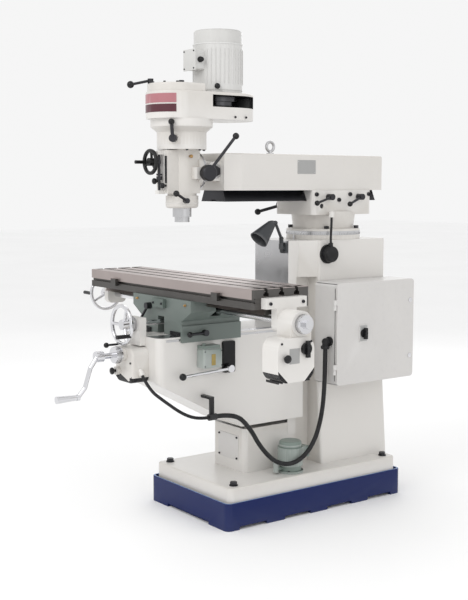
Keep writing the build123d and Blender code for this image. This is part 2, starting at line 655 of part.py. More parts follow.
with BuildPart() as belt_housing:
    with BuildSketch(Plane.XY.offset(BELT_FLOOR)):
        with Locations((0, FRONT_ARC)):
            Circle(FRONT_R)
        with Locations((0, REAR_ARC)):
            Circle(REAR_R)
        make_hull()
    extrude(amount=HOUSING_TOP - BELT_FLOOR)
    fillet(belt_housing.faces().sort_by(Axis.Z)[-1].edges(), radius=8)
    with BuildSketch(Plane.XY.offset(HOUSING_TOP - 14)):
        with Locations((0, FRONT_ARC)):
            Circle(118)
        with Locations((0, FRONT_ARC + 45)):
            Rectangle(236, 90)
    extrude(amount=BONNET_TOP - HOUSING_TOP + 14)
    fillet(belt_housing.faces().sort_by(Axis.Z)[-1].edges(), radius=8)
    # room for the pulleys and belt
    with BuildSketch(Plane.XY.offset(BELT_FLOOR + 10)):
        with Locations((0, FRONT_ARC)):
            Circle(FRONT_R - 9)
        with Locations((0, REAR_ARC)):
            Circle(REAR_R - 9)
        make_hull()
    extrude(amount=HOUSING_TOP - BELT_FLOOR - 22, mode=Mode.SUBTRACT)
    # belt change windows on both sides, under the motor
    block(-200, 200, -478, -222, 1884, 1937, mode=Mode.SUBTRACT)
    # spindle sleeve, drawbar and motor shaft holes
    rod((0, QUILL_Y, BELT_FLOOR - 5), (0, QUILL_Y, BELT_FLOOR + 15), 36, mode=Mode.SUBTRACT)
    rod((0, QUILL_Y, 1930), (0, QUILL_Y, BONNET_TOP), 24, mode=Mode.SUBTRACT)
    rod((0, MOTOR_Y, 1930), (0, MOTOR_Y, HOUSING_TOP), 48, mode=Mode.SUBTRACT)
save(belt_housing, "belt_housing")

MOTOR_TOP = 2172

with BuildPart() as motor:
    rod((0, MOTOR_Y, HOUSING_TOP), (0, MOTOR_Y, HOUSING_TOP + 16), 110)
    rod((0, MOTOR_Y, HOUSING_TOP + 14), (0, MOTOR_Y, MOTOR_TOP), MOTOR_R)
    rod((0, MOTOR_Y, MOTOR_TOP), (0, MOTOR_Y, MOTOR_TOP + 56), MOTOR_R - 3)
    rod((0, MOTOR_Y, MOTOR_TOP + 54), (0, MOTOR_Y, MOTOR_TOP + 61), MOTOR_R - 9)
    # stator bore and fan space
    rod((0, MOTOR_Y, HOUSING_TOP + 16), (0, MOTOR_Y, MOTOR_TOP + 50), 62, mode=Mode.SUBTRACT)
    rod((0, MOTOR_Y, MOTOR_TOP), (0, MOTOR_Y, MOTOR_TOP + 52), 102, mode=Mode.SUBTRACT)
    rod((0, MOTOR_Y, HOUSING_TOP), (0, MOTOR_Y, HOUSING_TOP + 16), 20, mode=Mode.SUBTRACT)
    # terminal box on the front
    block(-44, 44, MOTOR_Y - 156, MOTOR_Y - 104, 2052, 2140)
    fillet(motor.edges().filter_by(Axis.Y).sort_by(Axis.Y)[:4], radius=8)
save(motor, "motor")

STEP_Z = [1858, 1877, 1896, 1915]
SPINDLE_STEPS = [85, 72, 58, 45]
MOTOR_STEPS = [45, 58, 72, 85]
SLEEVE_LOW = 1736

with BuildPart() as spindle_pulley:
    rod((0, QUILL_Y, SLEEVE_LOW), (0, QUILL_Y, STEP_Z[0] + 1), 30)
    for z, radius in zip(STEP_Z, SPINDLE_STEPS):
        rod((0, QUILL_Y, z), (0, QUILL_Y, z + 19), radius)
        rod((0, QUILL_Y, z), (0, QUILL_Y, z + 3), radius + 3)
    # bull gear on the sleeve
    rod((0, QUILL_Y, 1746), (0, QUILL_Y, 1766), 78)
    rod((0, QUILL_Y, SLEEVE_LOW - 2), (0, QUILL_Y, 1940), 20, mode=Mode.SUBTRACT)
save(spindle_pulley, "spindle_pulley")

with BuildPart() as motor_pulley:
    for z, radius in zip(STEP_Z, MOTOR_STEPS):
        rod((0, MOTOR_Y, z), (0, MOTOR_Y, z + 19), radius)
    rod((0, MOTOR_Y, STEP_Z[3] + 16), (0, MOTOR_Y, STEP_Z[3] + 20), 88)
    # rotor shaft with the rotor and fan
    rod((0, MOTOR_Y, STEP_Z[3] + 19), (0, MOTOR_Y, MOTOR_TOP + 20), 16)
    rod((0, MOTOR_Y, 1990), (0, MOTOR_Y, 2140), 60)
    rod((0, MOTOR_Y, MOTOR_TOP + 6), (0, MOTOR_Y, MOTOR_TOP + 30), 88)
save(motor_pulley, "motor_pulley")

BELT_LEVEL = 1

with BuildPart() as drive_belt:
    # a flat loop round the second steps, a hair clear of both pulleys
    for grow, mode in ((9.4, Mode.ADD), (0.4, Mode.SUBTRACT)):
        with BuildSketch(Plane.XY.offset(STEP_Z[BELT_LEVEL] + 4)):
            with Locations((0, QUILL_Y)):
                Circle(SPINDLE_STEPS[BELT_LEVEL] + grow)
            with Locations((0, MOTOR_Y)):
                Circle(MOTOR_STEPS[BELT_LEVEL] + grow)
            make_hull()
        extrude(amount=13, mode=mode)
save(drive_belt, "drive_belt")

QUILL_LOW = 1395
QUILL_TOP = 1730
NOSE_LOW = 1371

with BuildPart() as quill:
    rod((0, QUILL_Y, QUILL_LOW), (0, QUILL_Y, QUILL_TOP), QUILL_R)
    rod((0, QUILL_Y, QUILL_LOW), (0, QUILL_Y, QUILL_TOP), 27, mode=Mode.SUBTRACT)
    # rack groove at the back, long enough to keep the pinion in mesh at full travel
    block(-13, 13, QUILL_Y + 37, QUILL_Y + 50, 1440, QUILL_TOP + 1, mode=Mode.SUBTRACT)
save(quill, "quill")

with BuildPart() as spindle:
    rod((0, QUILL_Y, NOSE_LOW), (0, QUILL_Y, QUILL_LOW - GAP), 34)
    rod((0, QUILL_Y, QUILL_LOW - 1), (0, QUILL_Y, 1700), 27 - RUNNING)
    rod((0, QUILL_Y, 1699), (0, QUILL_Y, 1930), 19.9)
    # collet socket and drawbar bore
    rod((0, QUILL_Y, NOSE_LOW), (0, QUILL_Y, NOSE_LOW + 90), 12, mode=Mode.SUBTRACT)
    rod((0, QUILL_Y, NOSE_LOW + 89), (0, QUILL_Y, 1930), 8.5, mode=Mode.SUBTRACT)
save(spindle, "spindle")

with BuildPart() as drawbar:
    rod((0, QUILL_Y, NOSE_LOW + 90), (0, QUILL_Y, 1980), 8.4)
    rod((0, QUILL_Y, 1930), (0, QUILL_Y, 1938), 14)
    hexagon((0, QUILL_Y, 1978), (0, QUILL_Y, 2004), 22)
save(drawbar, "drawbar")

with BuildPart() as coarse_feed_lever:
    rod((-60, PINION_Y, 1591), (124, PINION_Y, 1591), 9)
    rod((-12, PINION_Y, 1591), (12, PINION_Y, 1591), 12)
    rod((104 + GAP, PINION_Y, 1591), (122, PINION_Y, 1591), 27)
    rod((122, PINION_Y, 1591), (152, PINION_Y, 1591), 37)
    fillet(coarse_feed_lever.faces().sort_by(Axis.X)[-1].edges(), radius=8)
    rod((132, PINION_Y, 1591), (158, -372, 1756), 7)
    ball((158, -372, 1756), 15)
save(coarse_feed_lever, "coarse_feed_lever")

WHEEL = (-30, 1640)

APRON = QUILL_Y - 104

with BuildPart() as fine_feed_handwheel:
    ring((WHEEL[0], APRON - 36, WHEEL[1]), (WHEEL[0], APRON - 52, WHEEL[1]), 58, 42)
    fillet(fine_feed_handwheel.edges().filter_by(GeomType.CIRCLE), radius=6)
    for angle in (80, 200, 320):
        tip_x = WHEEL[0] + 47 * math.cos(math.radians(angle))
        tip_z = WHEEL[1] + 47 * math.sin(math.radians(angle))
        rod((WHEEL[0], APRON - 36, WHEEL[1]), (tip_x, APRON - 44, tip_z), 6)
    rod((WHEEL[0] - 50, APRON - 44, WHEEL[1]), (WHEEL[0] - 50, APRON - 92, WHEEL[1]), 8)
    rod((WHEEL[0], APRON - GAP, WHEEL[1]), (WHEEL[0], APRON - 54, WHEEL[1]), 18)
save(fine_feed_handwheel, "fine_feed_handwheel")

with BuildPart() as quill_lock_lever:
    rod((72, QUILL_Y - 30, 1468), (96, QUILL_Y - 34, 1468), 12)
    rod((90, QUILL_Y - 34, 1468), (100, QUILL_Y - 96, 1500), 6)
    ball((100, QUILL_Y - 96, 1500), 14)
save(quill_lock_lever, "quill_lock_lever")

with BuildPart() as brake_lever:
    rod((-50, -690, BONNET_TOP), (-50, -690, BONNET_TOP + 22), 13)
    rod((-50, -690, BONNET_TOP + 14), (-62, -786, BONNET_TOP - 8), 6)
    ball((-62, -786, BONNET_TOP - 8), 16)
save(brake_lever, "brake_lever")

with BuildPart() as range_lever:
    lever_at = Vector(0, QUILL_Y, 1742) + lever_dir * 122.3
    lever_top = Vector(0, QUILL_Y, 1742) + lever_dir * 146
    rod(tuple(lever_at), tuple(lever_top), 17)
    tip = Vector(0, QUILL_Y, 1812) + lever_dir * 158
    rod(tuple(Vector(0, QUILL_Y, 1742) + lever_dir * 140), tuple(tip), 8)
    ball(tuple(tip), 14)
save(range_lever, "range_lever")

# =============================================================================
# Knee
# =============================================================================

KNEE_REAR_LOW = 425
KNEE_FRONT_LOW = 655
SHELF_Z = 734


with BuildPart() as knee_casting:
    with BuildSketch(Plane.YZ.offset(-KNEE_HALF)):
        with BuildLine():
            Polyline(
                (KNEE_FRONT, KNEE_FRONT_LOW + 20),
                (KNEE_FRONT + 24, KNEE_FRONT_LOW),
                (-340, KNEE_REAR_LOW),
                (8, KNEE_REAR_LOW),
                (8, KNEE_TOP),
                (KNEE_FRONT, KNEE_TOP),
                close=True,
            )
        make_face()
    extrude(amount=2 * KNEE_HALF)
    front_corners = knee_casting.edges().filter_by(Axis.Z).sort_by(Axis.Y)[:2]
    fillet(front_corners, radius=34)
    # hollow, open underneath where the pedestal goes up into it
    with BuildSketch(Plane.YZ.offset(-KNEE_HALF + 18)):
        with BuildLine():
            Polyline(
                (KNEE_FRONT + 26, KNEE_FRONT_LOW + 32),
                (-336, KNEE_REAR_LOW + 20),
                (-318, KNEE_REAR_LOW - 10),
                (-66, KNEE_REAR_LOW - 10),
                (-66, KNEE_TOP - 30),
                (KNEE_FRONT + 26, KNEE_TOP - 30),
                close=True,
            )
        make_face()
    extrude(amount=2 * (KNEE_HALF - 18), mode=Mode.SUBTRACT)
    # the pedestal passes under the rear wall
    block(-134, 134, -100, 12, KNEE_REAR_LOW - 10, 645, mode=Mode.SUBTRACT)
    # slot that straddles the column ways
    block(
        -(WAY_HALF + GAP),
        WAY_HALF + GAP,
        WAY_FRONT - GAP,
        20,
        KNEE_REAR_LOW - 10,
        KNEE_TOP + 10,
        mode=Mode.SUBTRACT,
    )
    # keeper strips behind the ways
    for side in (-1, 1):
        x0, x1 = sorted((side * (104 + 0.5), side * KNEE_HALF))
        block(x0, x1, 8 + GAP, 28, KNEE_REAR_LOW, KNEE_TOP)
        x0, x1 = sorted((side * (WAY_HALF + GAP), side * KNEE_HALF))
        block(x0, x1, 4, 10, KNEE_REAR_LOW, KNEE_TOP)
    # shelf that carries the elevating screw
    block(-142, 142, -262, -118, SHELF_Z, SHELF_Z + 14)
    rod((0, NUT_Y, SHELF_Z - 1), (0, NUT_Y, SHELF_Z + 15), 15 + RUNNING, mode=Mode.SUBTRACT)
    # crank shaft bore in the front wall
    rod((0, KNEE_FRONT, CRANK_Z), (0, KNEE_FRONT + 60, CRANK_Z), 26)
    # bracket for the cross feed screw
    block(-52, 52, KNEE_FRONT - 30, KNEE_FRONT + 4, KNEE_TOP - 40, CROSS_Z + 30)
    rod((0, KNEE_FRONT - 70, CRANK_Z), (0, KNEE_FRONT + 70, CRANK_Z), 12 + RUNNING, mode=Mode.SUBTRACT)
    rod((0, KNEE_FRONT - 70, CROSS_Z), (0, KNEE_FRONT + 10, CROSS_Z), 12 + RUNNING, mode=Mode.SUBTRACT)
save(knee_casting, "knee_casting")

FEED_FRONT = -872
CONDUIT_END = (92, -832, 704)

with BuildPart() as knee_power_feed:
    block(-76, 76, FEED_FRONT, KNEE_FRONT, 668, 826)
    fillet(knee_power_feed.edges().filter_by(Axis.Y), radius=34)
    fillet(knee_power_feed.faces().sort_by(Axis.Y)[0].edges(), radius=9)
    rod((-44, FEED_FRONT + 2, 716), (-44, FEED_FRONT - 18, 716), 19)
    rod((0, FEED_FRONT + 2, CRANK_Z), (0, FEED_FRONT - 22, CRANK_Z), 30)
    # hollow case
    block(-60, 60, FEED_FRONT + 14, KNEE_FRONT - 10, 684, 760, mode=Mode.SUBTRACT)
    rod((0, FEED_FRONT - 30, CRANK_Z), (0, KNEE_FRONT, CRANK_Z), 12 + RUNNING, mode=Mode.SUBTRACT)
    # gland for the conduit, slanting down from the side
    rod((70, -832, 726), CONDUIT_END, 13)
save(knee_power_feed, "knee_power_feed")

with BuildPart() as knee_feed_lever:
    rod((-52, -836, 826 + GAP), (-52, -836, 838), 11)
    rod((-52, -836, 832), (-66, -922, 830), 5)
    ball((-66, -922, 830), 12)
save(knee_feed_lever, "knee_feed_lever")

with BuildPart() as lube_pump:
    block(KNEE_HALF, KNEE_HALF + 62, -592, -490, 730, 812)
    fillet(lube_pump.edges().filter_by(Axis.Z), radius=10)
    block(KNEE_HALF, KNEE_HALF + 50, -586, -496, 811, 828)
    rod((KNEE_HALF + 30, -570, 826), (KNEE_HALF + 30, -570, 838), 8)
    block(KNEE_HALF + 8, KNEE_HALF + 54, -582, -500, 738, 800, mode=Mode.SUBTRACT)
save(lube_pump, "lube_pump")

with BuildPart() as lock_bracket:
    block(KNEE_HALF, KNEE_HALF + 14, -452, -386, 690, 834)
    fillet(lock_bracket.edges().filter_by(Axis.X), radius=9)
    rod((KNEE_HALF, -430, 712), (KNEE_HALF + 30, -430, 712), 20)
    # clip that holds the end of the hanging hose
    block(KNEE_HALF, CLIP_X, CLIP_Y - 30, CLIP_Y - 10, 590, 602)
    block(CLIP_X - 12, CLIP_X, CLIP_Y - 30, CLIP_Y - 10, CLIP_Z, 602)
    rod((CLIP_X, CLIP_Y - 40, CLIP_Z), (CLIP_X, CLIP_Y, CLIP_Z), 15)
save(lock_bracket, "lock_bracket")

conduit_route = [
    (CLIP_X, CLIP_Y - 40, CLIP_Z),
    (CLIP_X, CLIP_Y - 96, CLIP_Z),
    (220, -706, 540),
    (188, -782, 602),
    (146, -830, 650),
    CONDUIT_END,
]
cord("knee_conduit", conduit_route, CONDUIT_D)

with BuildPart() as knee_lock_lever:
    rod((KNEE_HALF + 30 + GAP, -430, 712), (KNEE_HALF + 48, -430, 712), 17)
    rod((KNEE_HALF + 38, -430, 712), (KNEE_HALF + 40, -690, 700), 7)
    ball((KNEE_HALF + 40, -690, 700), 16)
save(knee_lock_lever, "knee_lock_lever")

SCREW_LOW = 340

with BuildPart() as elevating_screw:
    rod((0, NUT_Y, SCREW_LOW), (0, NUT_Y, SHELF_Z + 15), 15)
    rod((0, NUT_Y, SHELF_Z + 14 + GAP), (0, NUT_Y, SHELF_Z + 20), 26)
    taper((0, NUT_Y, SHELF_Z + 20), (0, NUT_Y, CRANK_Z - 24), 39.5, 23.5)
save(elevating_screw, "elevating_screw")

CRANK_HUB = -1006

with BuildPart() as elevating_crank:
    taper((0, NUT_Y - 40, CRANK_Z), (0, NUT_Y - 24, CRANK_Z), 39.5, 23.5)
    rod((0, NUT_Y - 40, CRANK_Z), (0, CRANK_HUB, CRANK_Z), 12)
    rod((0, FEED_FRONT - 22 - GAP, CRANK_Z), (0, FEED_FRONT - 52, CRANK_Z), 36)
    rod((0, CRANK_HUB + 26, CRANK_Z), (0, CRANK_HUB - 8, CRANK_Z), 24)
    # cranked arm: it leaves the hub, steps outwards and runs down to the grip
    arm = [
        (0, CRANK_HUB, CRANK_Z),
        (0, CRANK_HUB - 34, CRANK_Z - 46),
        (0, CRANK_HUB - 62, CRANK_Z - 130),
        (0, CRANK_HUB - 96, CRANK_Z - 168),
    ]
    for a, b in zip(arm, arm[1:]):
        rod(a, b, 10)
        ball(b, 10)
    rod((0, CRANK_HUB - 90, CRANK_Z - 168), (0, CRANK_HUB - 104, CRANK_Z - 168), 14)
    taper(
        (0, CRANK_HUB - 104, CRANK_Z - 168),
        (0, CRANK_HUB - 200, CRANK_Z - 168),
        12,
        16,
    )
save(elevating_crank, "elevating_crank")

CROSS_WHEEL = -866

with BuildPart() as cross_screw:
    ring((0, CROSS_WHEEL - 6, CROSS_Z), (0, CROSS_WHEEL - 22, CROSS_Z), 92, 76)
    fillet(cross_screw.edges().filter_by(GeomType.CIRCLE), radius=6)
    for angle in (60, 180, 300):
        x = 81 * math.cos(math.radians(angle))
        z = CROSS_Z + 81 * math.sin(math.radians(angle))
        rod((0, CROSS_WHEEL - 2, CROSS_Z), (x, CROSS_WHEEL - 14, z), 7)
    rod((73, CROSS_WHEEL - 14, CROSS_Z - 42), (73, CROSS_WHEEL - 84, CROSS_Z - 42), 9)
    rod((0, CROSS_WHEEL + 14, CROSS_Z), (0, CROSS_WHEEL - 18, CROSS_Z), 22)
    rod((0, -170, CROSS_Z), (0, CROSS_WHEEL - 14, CROSS_Z), 12)
    rod((0, KNEE_FRONT - 30 - GAP, CROSS_Z), (0, KNEE_FRONT - 56, CROSS_Z), 32)
save(cross_screw, "cross_screw")

# =============================================================================
# Saddle
# =============================================================================

SADDLE_FRONT = -676
SADDLE_REAR = -356
RAIL_TOP = 62
RAIL_FOOT = 80
RAIL_Z = 1010

with BuildPart() as saddle_casting:
    block(-165, 165, SADDLE_FRONT, SADDLE_REAR, KNEE_TOP + GAP, 962)
    with BuildSketch(Plane.XZ.offset(-SADDLE_REAR)):
        with BuildLine():
            Polyline(
                (-240, TABLE_UNDER - GAP),
                (240, TABLE_UNDER - GAP),
                (240, 985),
                (165, 940),
                (-165, 940),
                (-240, 985),
                close=True,
            )
        make_face()
    extrude(amount=SADDLE_REAR - SADDLE_FRONT)
    # lips down the sides of the knee
    for side in (-1, 1):
        x0, x1 = sorted((side * (KNEE_HALF + GAP), side * 174))
        block(x0, x1, SADDLE_FRONT, SADDLE_REAR, 846, 920)
    # tunnel for the cross feed screw
    block(-26, 26, SADDLE_FRONT, SADDLE_REAR, KNEE_TOP, 950, mode=Mode.SUBTRACT)
    # dovetail seat and lead screw channel for the table
    with BuildSketch(Plane.YZ.offset(-250)):
        with BuildLine():
            Polyline(
                (TABLE_Y - RAIL_TOP - GAP, TABLE_UNDER + 1),
                (TABLE_Y - RAIL_FOOT - GAP, RAIL_Z - GAP),
                (TABLE_Y + RAIL_FOOT + GAP, RAIL_Z - GAP),
                (TABLE_Y + RAIL_TOP + GAP, TABLE_UNDER + 1),
                close=True,
            )
        make_face()
    extrude(amount=500, mode=Mode.SUBTRACT)
    block(-250, 250, TABLE_Y - 26, TABLE_Y + 26, 958, RAIL_Z, mode=Mode.SUBTRACT)
save(saddle_casting, "saddle_casting")

with BuildPart() as feed_nuts:
    block(-30, 30, TABLE_Y - 26, TABLE_Y + 26, 960, 1006)
    rod((-40, TABLE_Y, LEAD_Z), (40, TABLE_Y, LEAD_Z), 14 + RUNNING, mode=Mode.SUBTRACT)
    block(-26, 26, TABLE_Y - 30, TABLE_Y + 30, 902, 950)
    rod((0, TABLE_Y - 40, CROSS_Z), (0, TABLE_Y + 40, CROSS_Z), 12 + RUNNING, mode=Mode.SUBTRACT)
save(feed_nuts, "feed_nuts")

with BuildPart() as saddle_lock_lever:
    rod((174 + GAP, -560, 884), (196, -560, 884), 14)
    rod((186, -560, 884), (196, -650, 884), 6)
    ball((196, -650, 884), 13)
save(saddle_lock_lever, "saddle_lock_lever")

with BuildPart() as table_lock_lever:
    rod((-90, SADDLE_FRONT - GAP, 990), (-90, SADDLE_FRONT - 26, 990), 15)
    rod((-92, SADDLE_FRONT - 16, 984), (-120, SADDLE_FRONT - 36, 926), 6)
    ball((-122, SADDLE_FRONT - 37, 922), 14)
save(table_lock_lever, "table_lock_lever")

# =============================================================================
# Table
# =============================================================================

SLOT_W = 16
SLOT_PITCH = 80
TABLE_END = TABLE_X / 2

with BuildPart() as table:
    block(-TABLE_END, TABLE_END, TABLE_Y - TABLE_W / 2, TABLE_Y + TABLE_W / 2, TABLE_UNDER, TABLE_TOP)
    fillet(table.edges().filter_by(Axis.Z), radius=12)
    chamfer(table.edges().group_by(Axis.Z)[-1], length=2)
    # T-slots, and one in the front face for the travel stops
    for i in (-1, 0, 1):
        y = TABLE_Y + i * SLOT_PITCH
        slot_top = TABLE_TOP + 5
        block(-TABLE_X, TABLE_X, y - SLOT_W / 2, y + SLOT_W / 2, 1090, slot_top, mode=Mode.SUBTRACT)
        block(-TABLE_X, TABLE_X, y - 14, y + 14, 1088, 1102, mode=Mode.SUBTRACT)
    face_y = TABLE_Y - TABLE_W / 2
    block(-TABLE_X, TABLE_X, face_y - 5, face_y + 10, 1066, 1078, mode=Mode.SUBTRACT)
    block(-TABLE_X, TABLE_X, face_y + 7, face_y + 14, 1061, 1083, mode=Mode.SUBTRACT)
    # coolant channels at both ends
    for side in (-1, 1):
        x0, x1 = sorted((side * (TABLE_END - 40), side * (TABLE_END - 14)))
        block(x0, x1, TABLE_Y - 128, TABLE_Y + 128, TABLE_TOP - 14, TABLE_TOP + 5, mode=Mode.SUBTRACT)
    # ribbed underside
    for x0, x1 in ((-600, -260), (-230, 230), (260, 600)):
        for y0, y1 in ((-132, -84), (84, 132)):
            block(x0, x1, TABLE_Y + y0, TABLE_Y + y1, TABLE_UNDER, 1056, mode=Mode.SUBTRACT)
    # dovetail rail
    with BuildSketch(Plane.YZ.offset(-TABLE_END + 20)):
        with BuildLine():
            Polyline(
                (TABLE_Y - RAIL_TOP, TABLE_UNDER + 2),
                (TABLE_Y - RAIL_TOP, TABLE_UNDER),
                (TABLE_Y - RAIL_FOOT, RAIL_Z),
                (TABLE_Y + RAIL_FOOT, RAIL_Z),
                (TABLE_Y + RAIL_TOP, TABLE_UNDER),
                (TABLE_Y + RAIL_TOP, TABLE_UNDER + 2),
                close=True,
            )
        make_face()
    extrude(amount=TABLE_X - 40)
    # stop dogs clamped in the front slot
    for x in (-420, 420):
        block(x - 22, x + 22, face_y - 16, face_y, 1056, 1090)
        block(x - 18, x + 18, face_y - 2, face_y + 8, 1067, 1077)
save(table, "table")

BRACKET_X = TABLE_END + 36

with BuildPart() as table_end_brackets:
    for side in (-1, 1):
        x0, x1 = sorted((side * TABLE_END, side * BRACKET_X))
        block(x0, x1, TABLE_Y - 105, TABLE_Y + 105, 1040, 1084)
        block(x0, x1, TABLE_Y - 52, TABLE_Y + 52, LEAD_Z - 42, 1042)
        rod((x0, TABLE_Y, LEAD_Z), (x1, TABLE_Y, LEAD_Z), 14 + RUNNING, mode=Mode.SUBTRACT)
    fillet(table_end_brackets.edges().filter_by(Axis.X).group_by(Axis.Z)[0], radius=24)
save(table_end_brackets, "table_end_brackets")

WHEEL_X = -772

with BuildPart() as lead_screw:
    rim_a = (WHEEL_X - 16, TABLE_Y, LEAD_Z)
    rim_b = (WHEEL_X, TABLE_Y, LEAD_Z)
    ring(rim_a, rim_b, 93, 77)
    fillet(lead_screw.edges().filter_by(GeomType.CIRCLE), radius=6)
    for angle in (90, 210, 330):
        y = TABLE_Y + 82 * math.cos(math.radians(angle))
        z = LEAD_Z + 82 * math.sin(math.radians(angle))
        rod((WHEEL_X + 4, TABLE_Y, LEAD_Z), (WHEEL_X - 8, y, z), 7)
    rod((WHEEL_X - 8, TABLE_Y - 85, LEAD_Z), (WHEEL_X - 80, TABLE_Y - 85, LEAD_Z), 9)
    rod((WHEEL_X + 18, TABLE_Y, LEAD_Z), (WHEEL_X - 18, TABLE_Y, LEAD_Z), 25)
    rod((WHEEL_X - 16, TABLE_Y, LEAD_Z), (838, TABLE_Y, LEAD_Z), 14)
    rod((-BRACKET_X - GAP, TABLE_Y, LEAD_Z), (-BRACKET_X - 28, TABLE_Y, LEAD_Z), 36)
    # graduated dial and lock nut at the power feed end
    rod((800 + GAP, TABLE_Y, LEAD_Z), (826, TABLE_Y, LEAD_Z), 38)
    hexagon((824, TABLE_Y, LEAD_Z), (844, TABLE_Y, LEAD_Z), 32)
save(lead_screw, "lead_screw")

with BuildPart() as table_power_feed:
    # gearbox round the lead screw
    rod((BRACKET_X, TABLE_Y, LEAD_Z), (800, TABLE_Y, LEAD_Z), 52)
    block(BRACKET_X, 796, TABLE_Y - 52, TABLE_Y + 52, 880, LEAD_Z)
    # motor case hanging below
    with BuildSketch(Plane.YZ.offset(700)):
        with Locations((-546, 842)):
            RectangleRounded(188, 180, 52)
    extrude(amount=102)
    block(716, 788, -610, -480, 800, 900, mode=Mode.SUBTRACT)
    rod((BRACKET_X, TABLE_Y, LEAD_Z), (800, TABLE_Y, LEAD_Z), 14 + RUNNING, mode=Mode.SUBTRACT)
save(table_power_feed, "table_power_feed")

with BuildPart() as table_feed_lever:
    rod((802 + GAP, -500, 884), (816, -500, 884), 24)
    block(812, 826, -508, -492, 850, 918)
save(table_feed_lever, "table_feed_lever")
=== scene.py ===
"""Looks of the turret milling machine: materials, detail pieces, cords, light and camera.

Metres.  +Z is up, -Y is the operator's side.  Places come from the CAD frame.
"""

import json
import math

import bmesh
import bpy
from mathutils import Matrix, Vector


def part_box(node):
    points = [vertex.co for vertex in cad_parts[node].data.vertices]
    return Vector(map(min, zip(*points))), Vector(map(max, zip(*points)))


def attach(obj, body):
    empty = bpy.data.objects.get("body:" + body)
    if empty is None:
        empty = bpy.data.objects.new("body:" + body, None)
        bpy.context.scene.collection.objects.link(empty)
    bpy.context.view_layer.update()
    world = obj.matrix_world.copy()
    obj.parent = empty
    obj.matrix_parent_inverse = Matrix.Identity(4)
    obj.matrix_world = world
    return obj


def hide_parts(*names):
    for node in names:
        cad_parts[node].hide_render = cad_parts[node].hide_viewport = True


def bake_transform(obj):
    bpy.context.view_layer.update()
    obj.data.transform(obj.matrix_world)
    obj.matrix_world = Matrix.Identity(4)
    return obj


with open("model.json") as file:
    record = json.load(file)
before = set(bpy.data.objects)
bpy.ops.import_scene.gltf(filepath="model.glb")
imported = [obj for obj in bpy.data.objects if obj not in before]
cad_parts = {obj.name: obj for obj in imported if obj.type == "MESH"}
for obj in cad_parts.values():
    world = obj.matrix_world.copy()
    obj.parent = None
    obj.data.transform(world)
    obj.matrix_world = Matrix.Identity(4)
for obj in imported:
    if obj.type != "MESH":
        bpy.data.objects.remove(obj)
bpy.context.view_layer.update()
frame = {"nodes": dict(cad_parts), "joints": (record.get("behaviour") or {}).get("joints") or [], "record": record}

NODES = frame["nodes"]
JOINT = {joint["name"]: joint for joint in frame["joints"]}
X, Y, Z = Vector((1, 0, 0)), Vector((0, 1, 0)), Vector((0, 0, 1))

# =============================================================================
# Materials
# =============================================================================


class Shader:
    """A small builder for one procedural material."""

    def __init__(self, name):
        self.material = bpy.data.materials.new(name)
        self.material.use_nodes = True
        self.tree = self.material.node_tree
        self.bsdf = self.tree.nodes["Principled BSDF"]
        self.coords = self.tree.nodes.new("ShaderNodeTexCoord").outputs["Object"]

    def node(self, kind, **values):
        made = self.tree.nodes.new(kind)
        for key, value in values.items():
            setattr(made, key, value)
        return made

    def link(self, out, into):
        self.tree.links.new(out, into)

    def noise(self, scale, detail=4.0, stretch=(1, 1, 1)):
        mapping = self.node("ShaderNodeMapping")
        mapping.inputs["Scale"].default_value = stretch
        self.link(self.coords, mapping.inputs["Vector"])
        texture = self.node("ShaderNodeTexNoise")
        texture.inputs["Scale"].default_value = scale
        texture.inputs["Detail"].default_value = detail
        self.link(mapping.outputs["Vector"], texture.inputs["Vector"])
        return texture.outputs["Fac"]

    def ramp(self, value, low, high, at=(0.35, 0.65)):
        ramp = self.node("ShaderNodeValToRGB")
        ends = ramp.color_ramp.elements
        ends[0].position, ends[1].position = at
        ends[0].color = (*low, 1)
        ends[1].color = (*high, 1)
        self.link(value, ramp.inputs["Fac"])
        return ramp.outputs["Color"]

    def mix(self, factor, a, b):
        mix = self.node("ShaderNodeMix", data_type="RGBA")
        self.link(factor, mix.inputs["Factor"])
        self.link(a, mix.inputs["A"])
        self.link(b, mix.inputs["B"])
        return mix.outputs["Result"]

    def spread(self, value, low, high):
        span = self.node("ShaderNodeMapRange")
        span.inputs["From Min"].default_value = 0.3
        span.inputs["From Max"].default_value = 0.7
        span.inputs["To Min"].default_value = low
        span.inputs["To Max"].default_value = high
        self.link(value, span.inputs["Value"])
        return span.outputs["Result"]

    def edges(self):
        """1 on worn outer edges, 0 elsewhere."""
        point = self.node("ShaderNodeNewGeometry").outputs["Pointiness"]
        span = self.node("ShaderNodeMapRange")
        span.inputs["From Min"].default_value = 0.53
        span.inputs["From Max"].default_value = 0.60
        self.link(point, span.inputs["Value"])
        return span.outputs["Result"]

    def bump(self, value, strength, distance):
        bump = self.node("ShaderNodeBump")
        bump.inputs["Strength"].default_value = strength
        bump.inputs["Distance"].default_value = distance
        self.link(value, bump.inputs["Height"])
        self.link(bump.outputs["Normal"], self.bsdf.inputs["Normal"])

    def set(self, **values):
        for key, value in values.items():
            self.bsdf.inputs[key.replace("_", " ")].default_value = value
        return self


def tint(colour, gain):
    return tuple(min(1.0, c * gain) for c in colour)


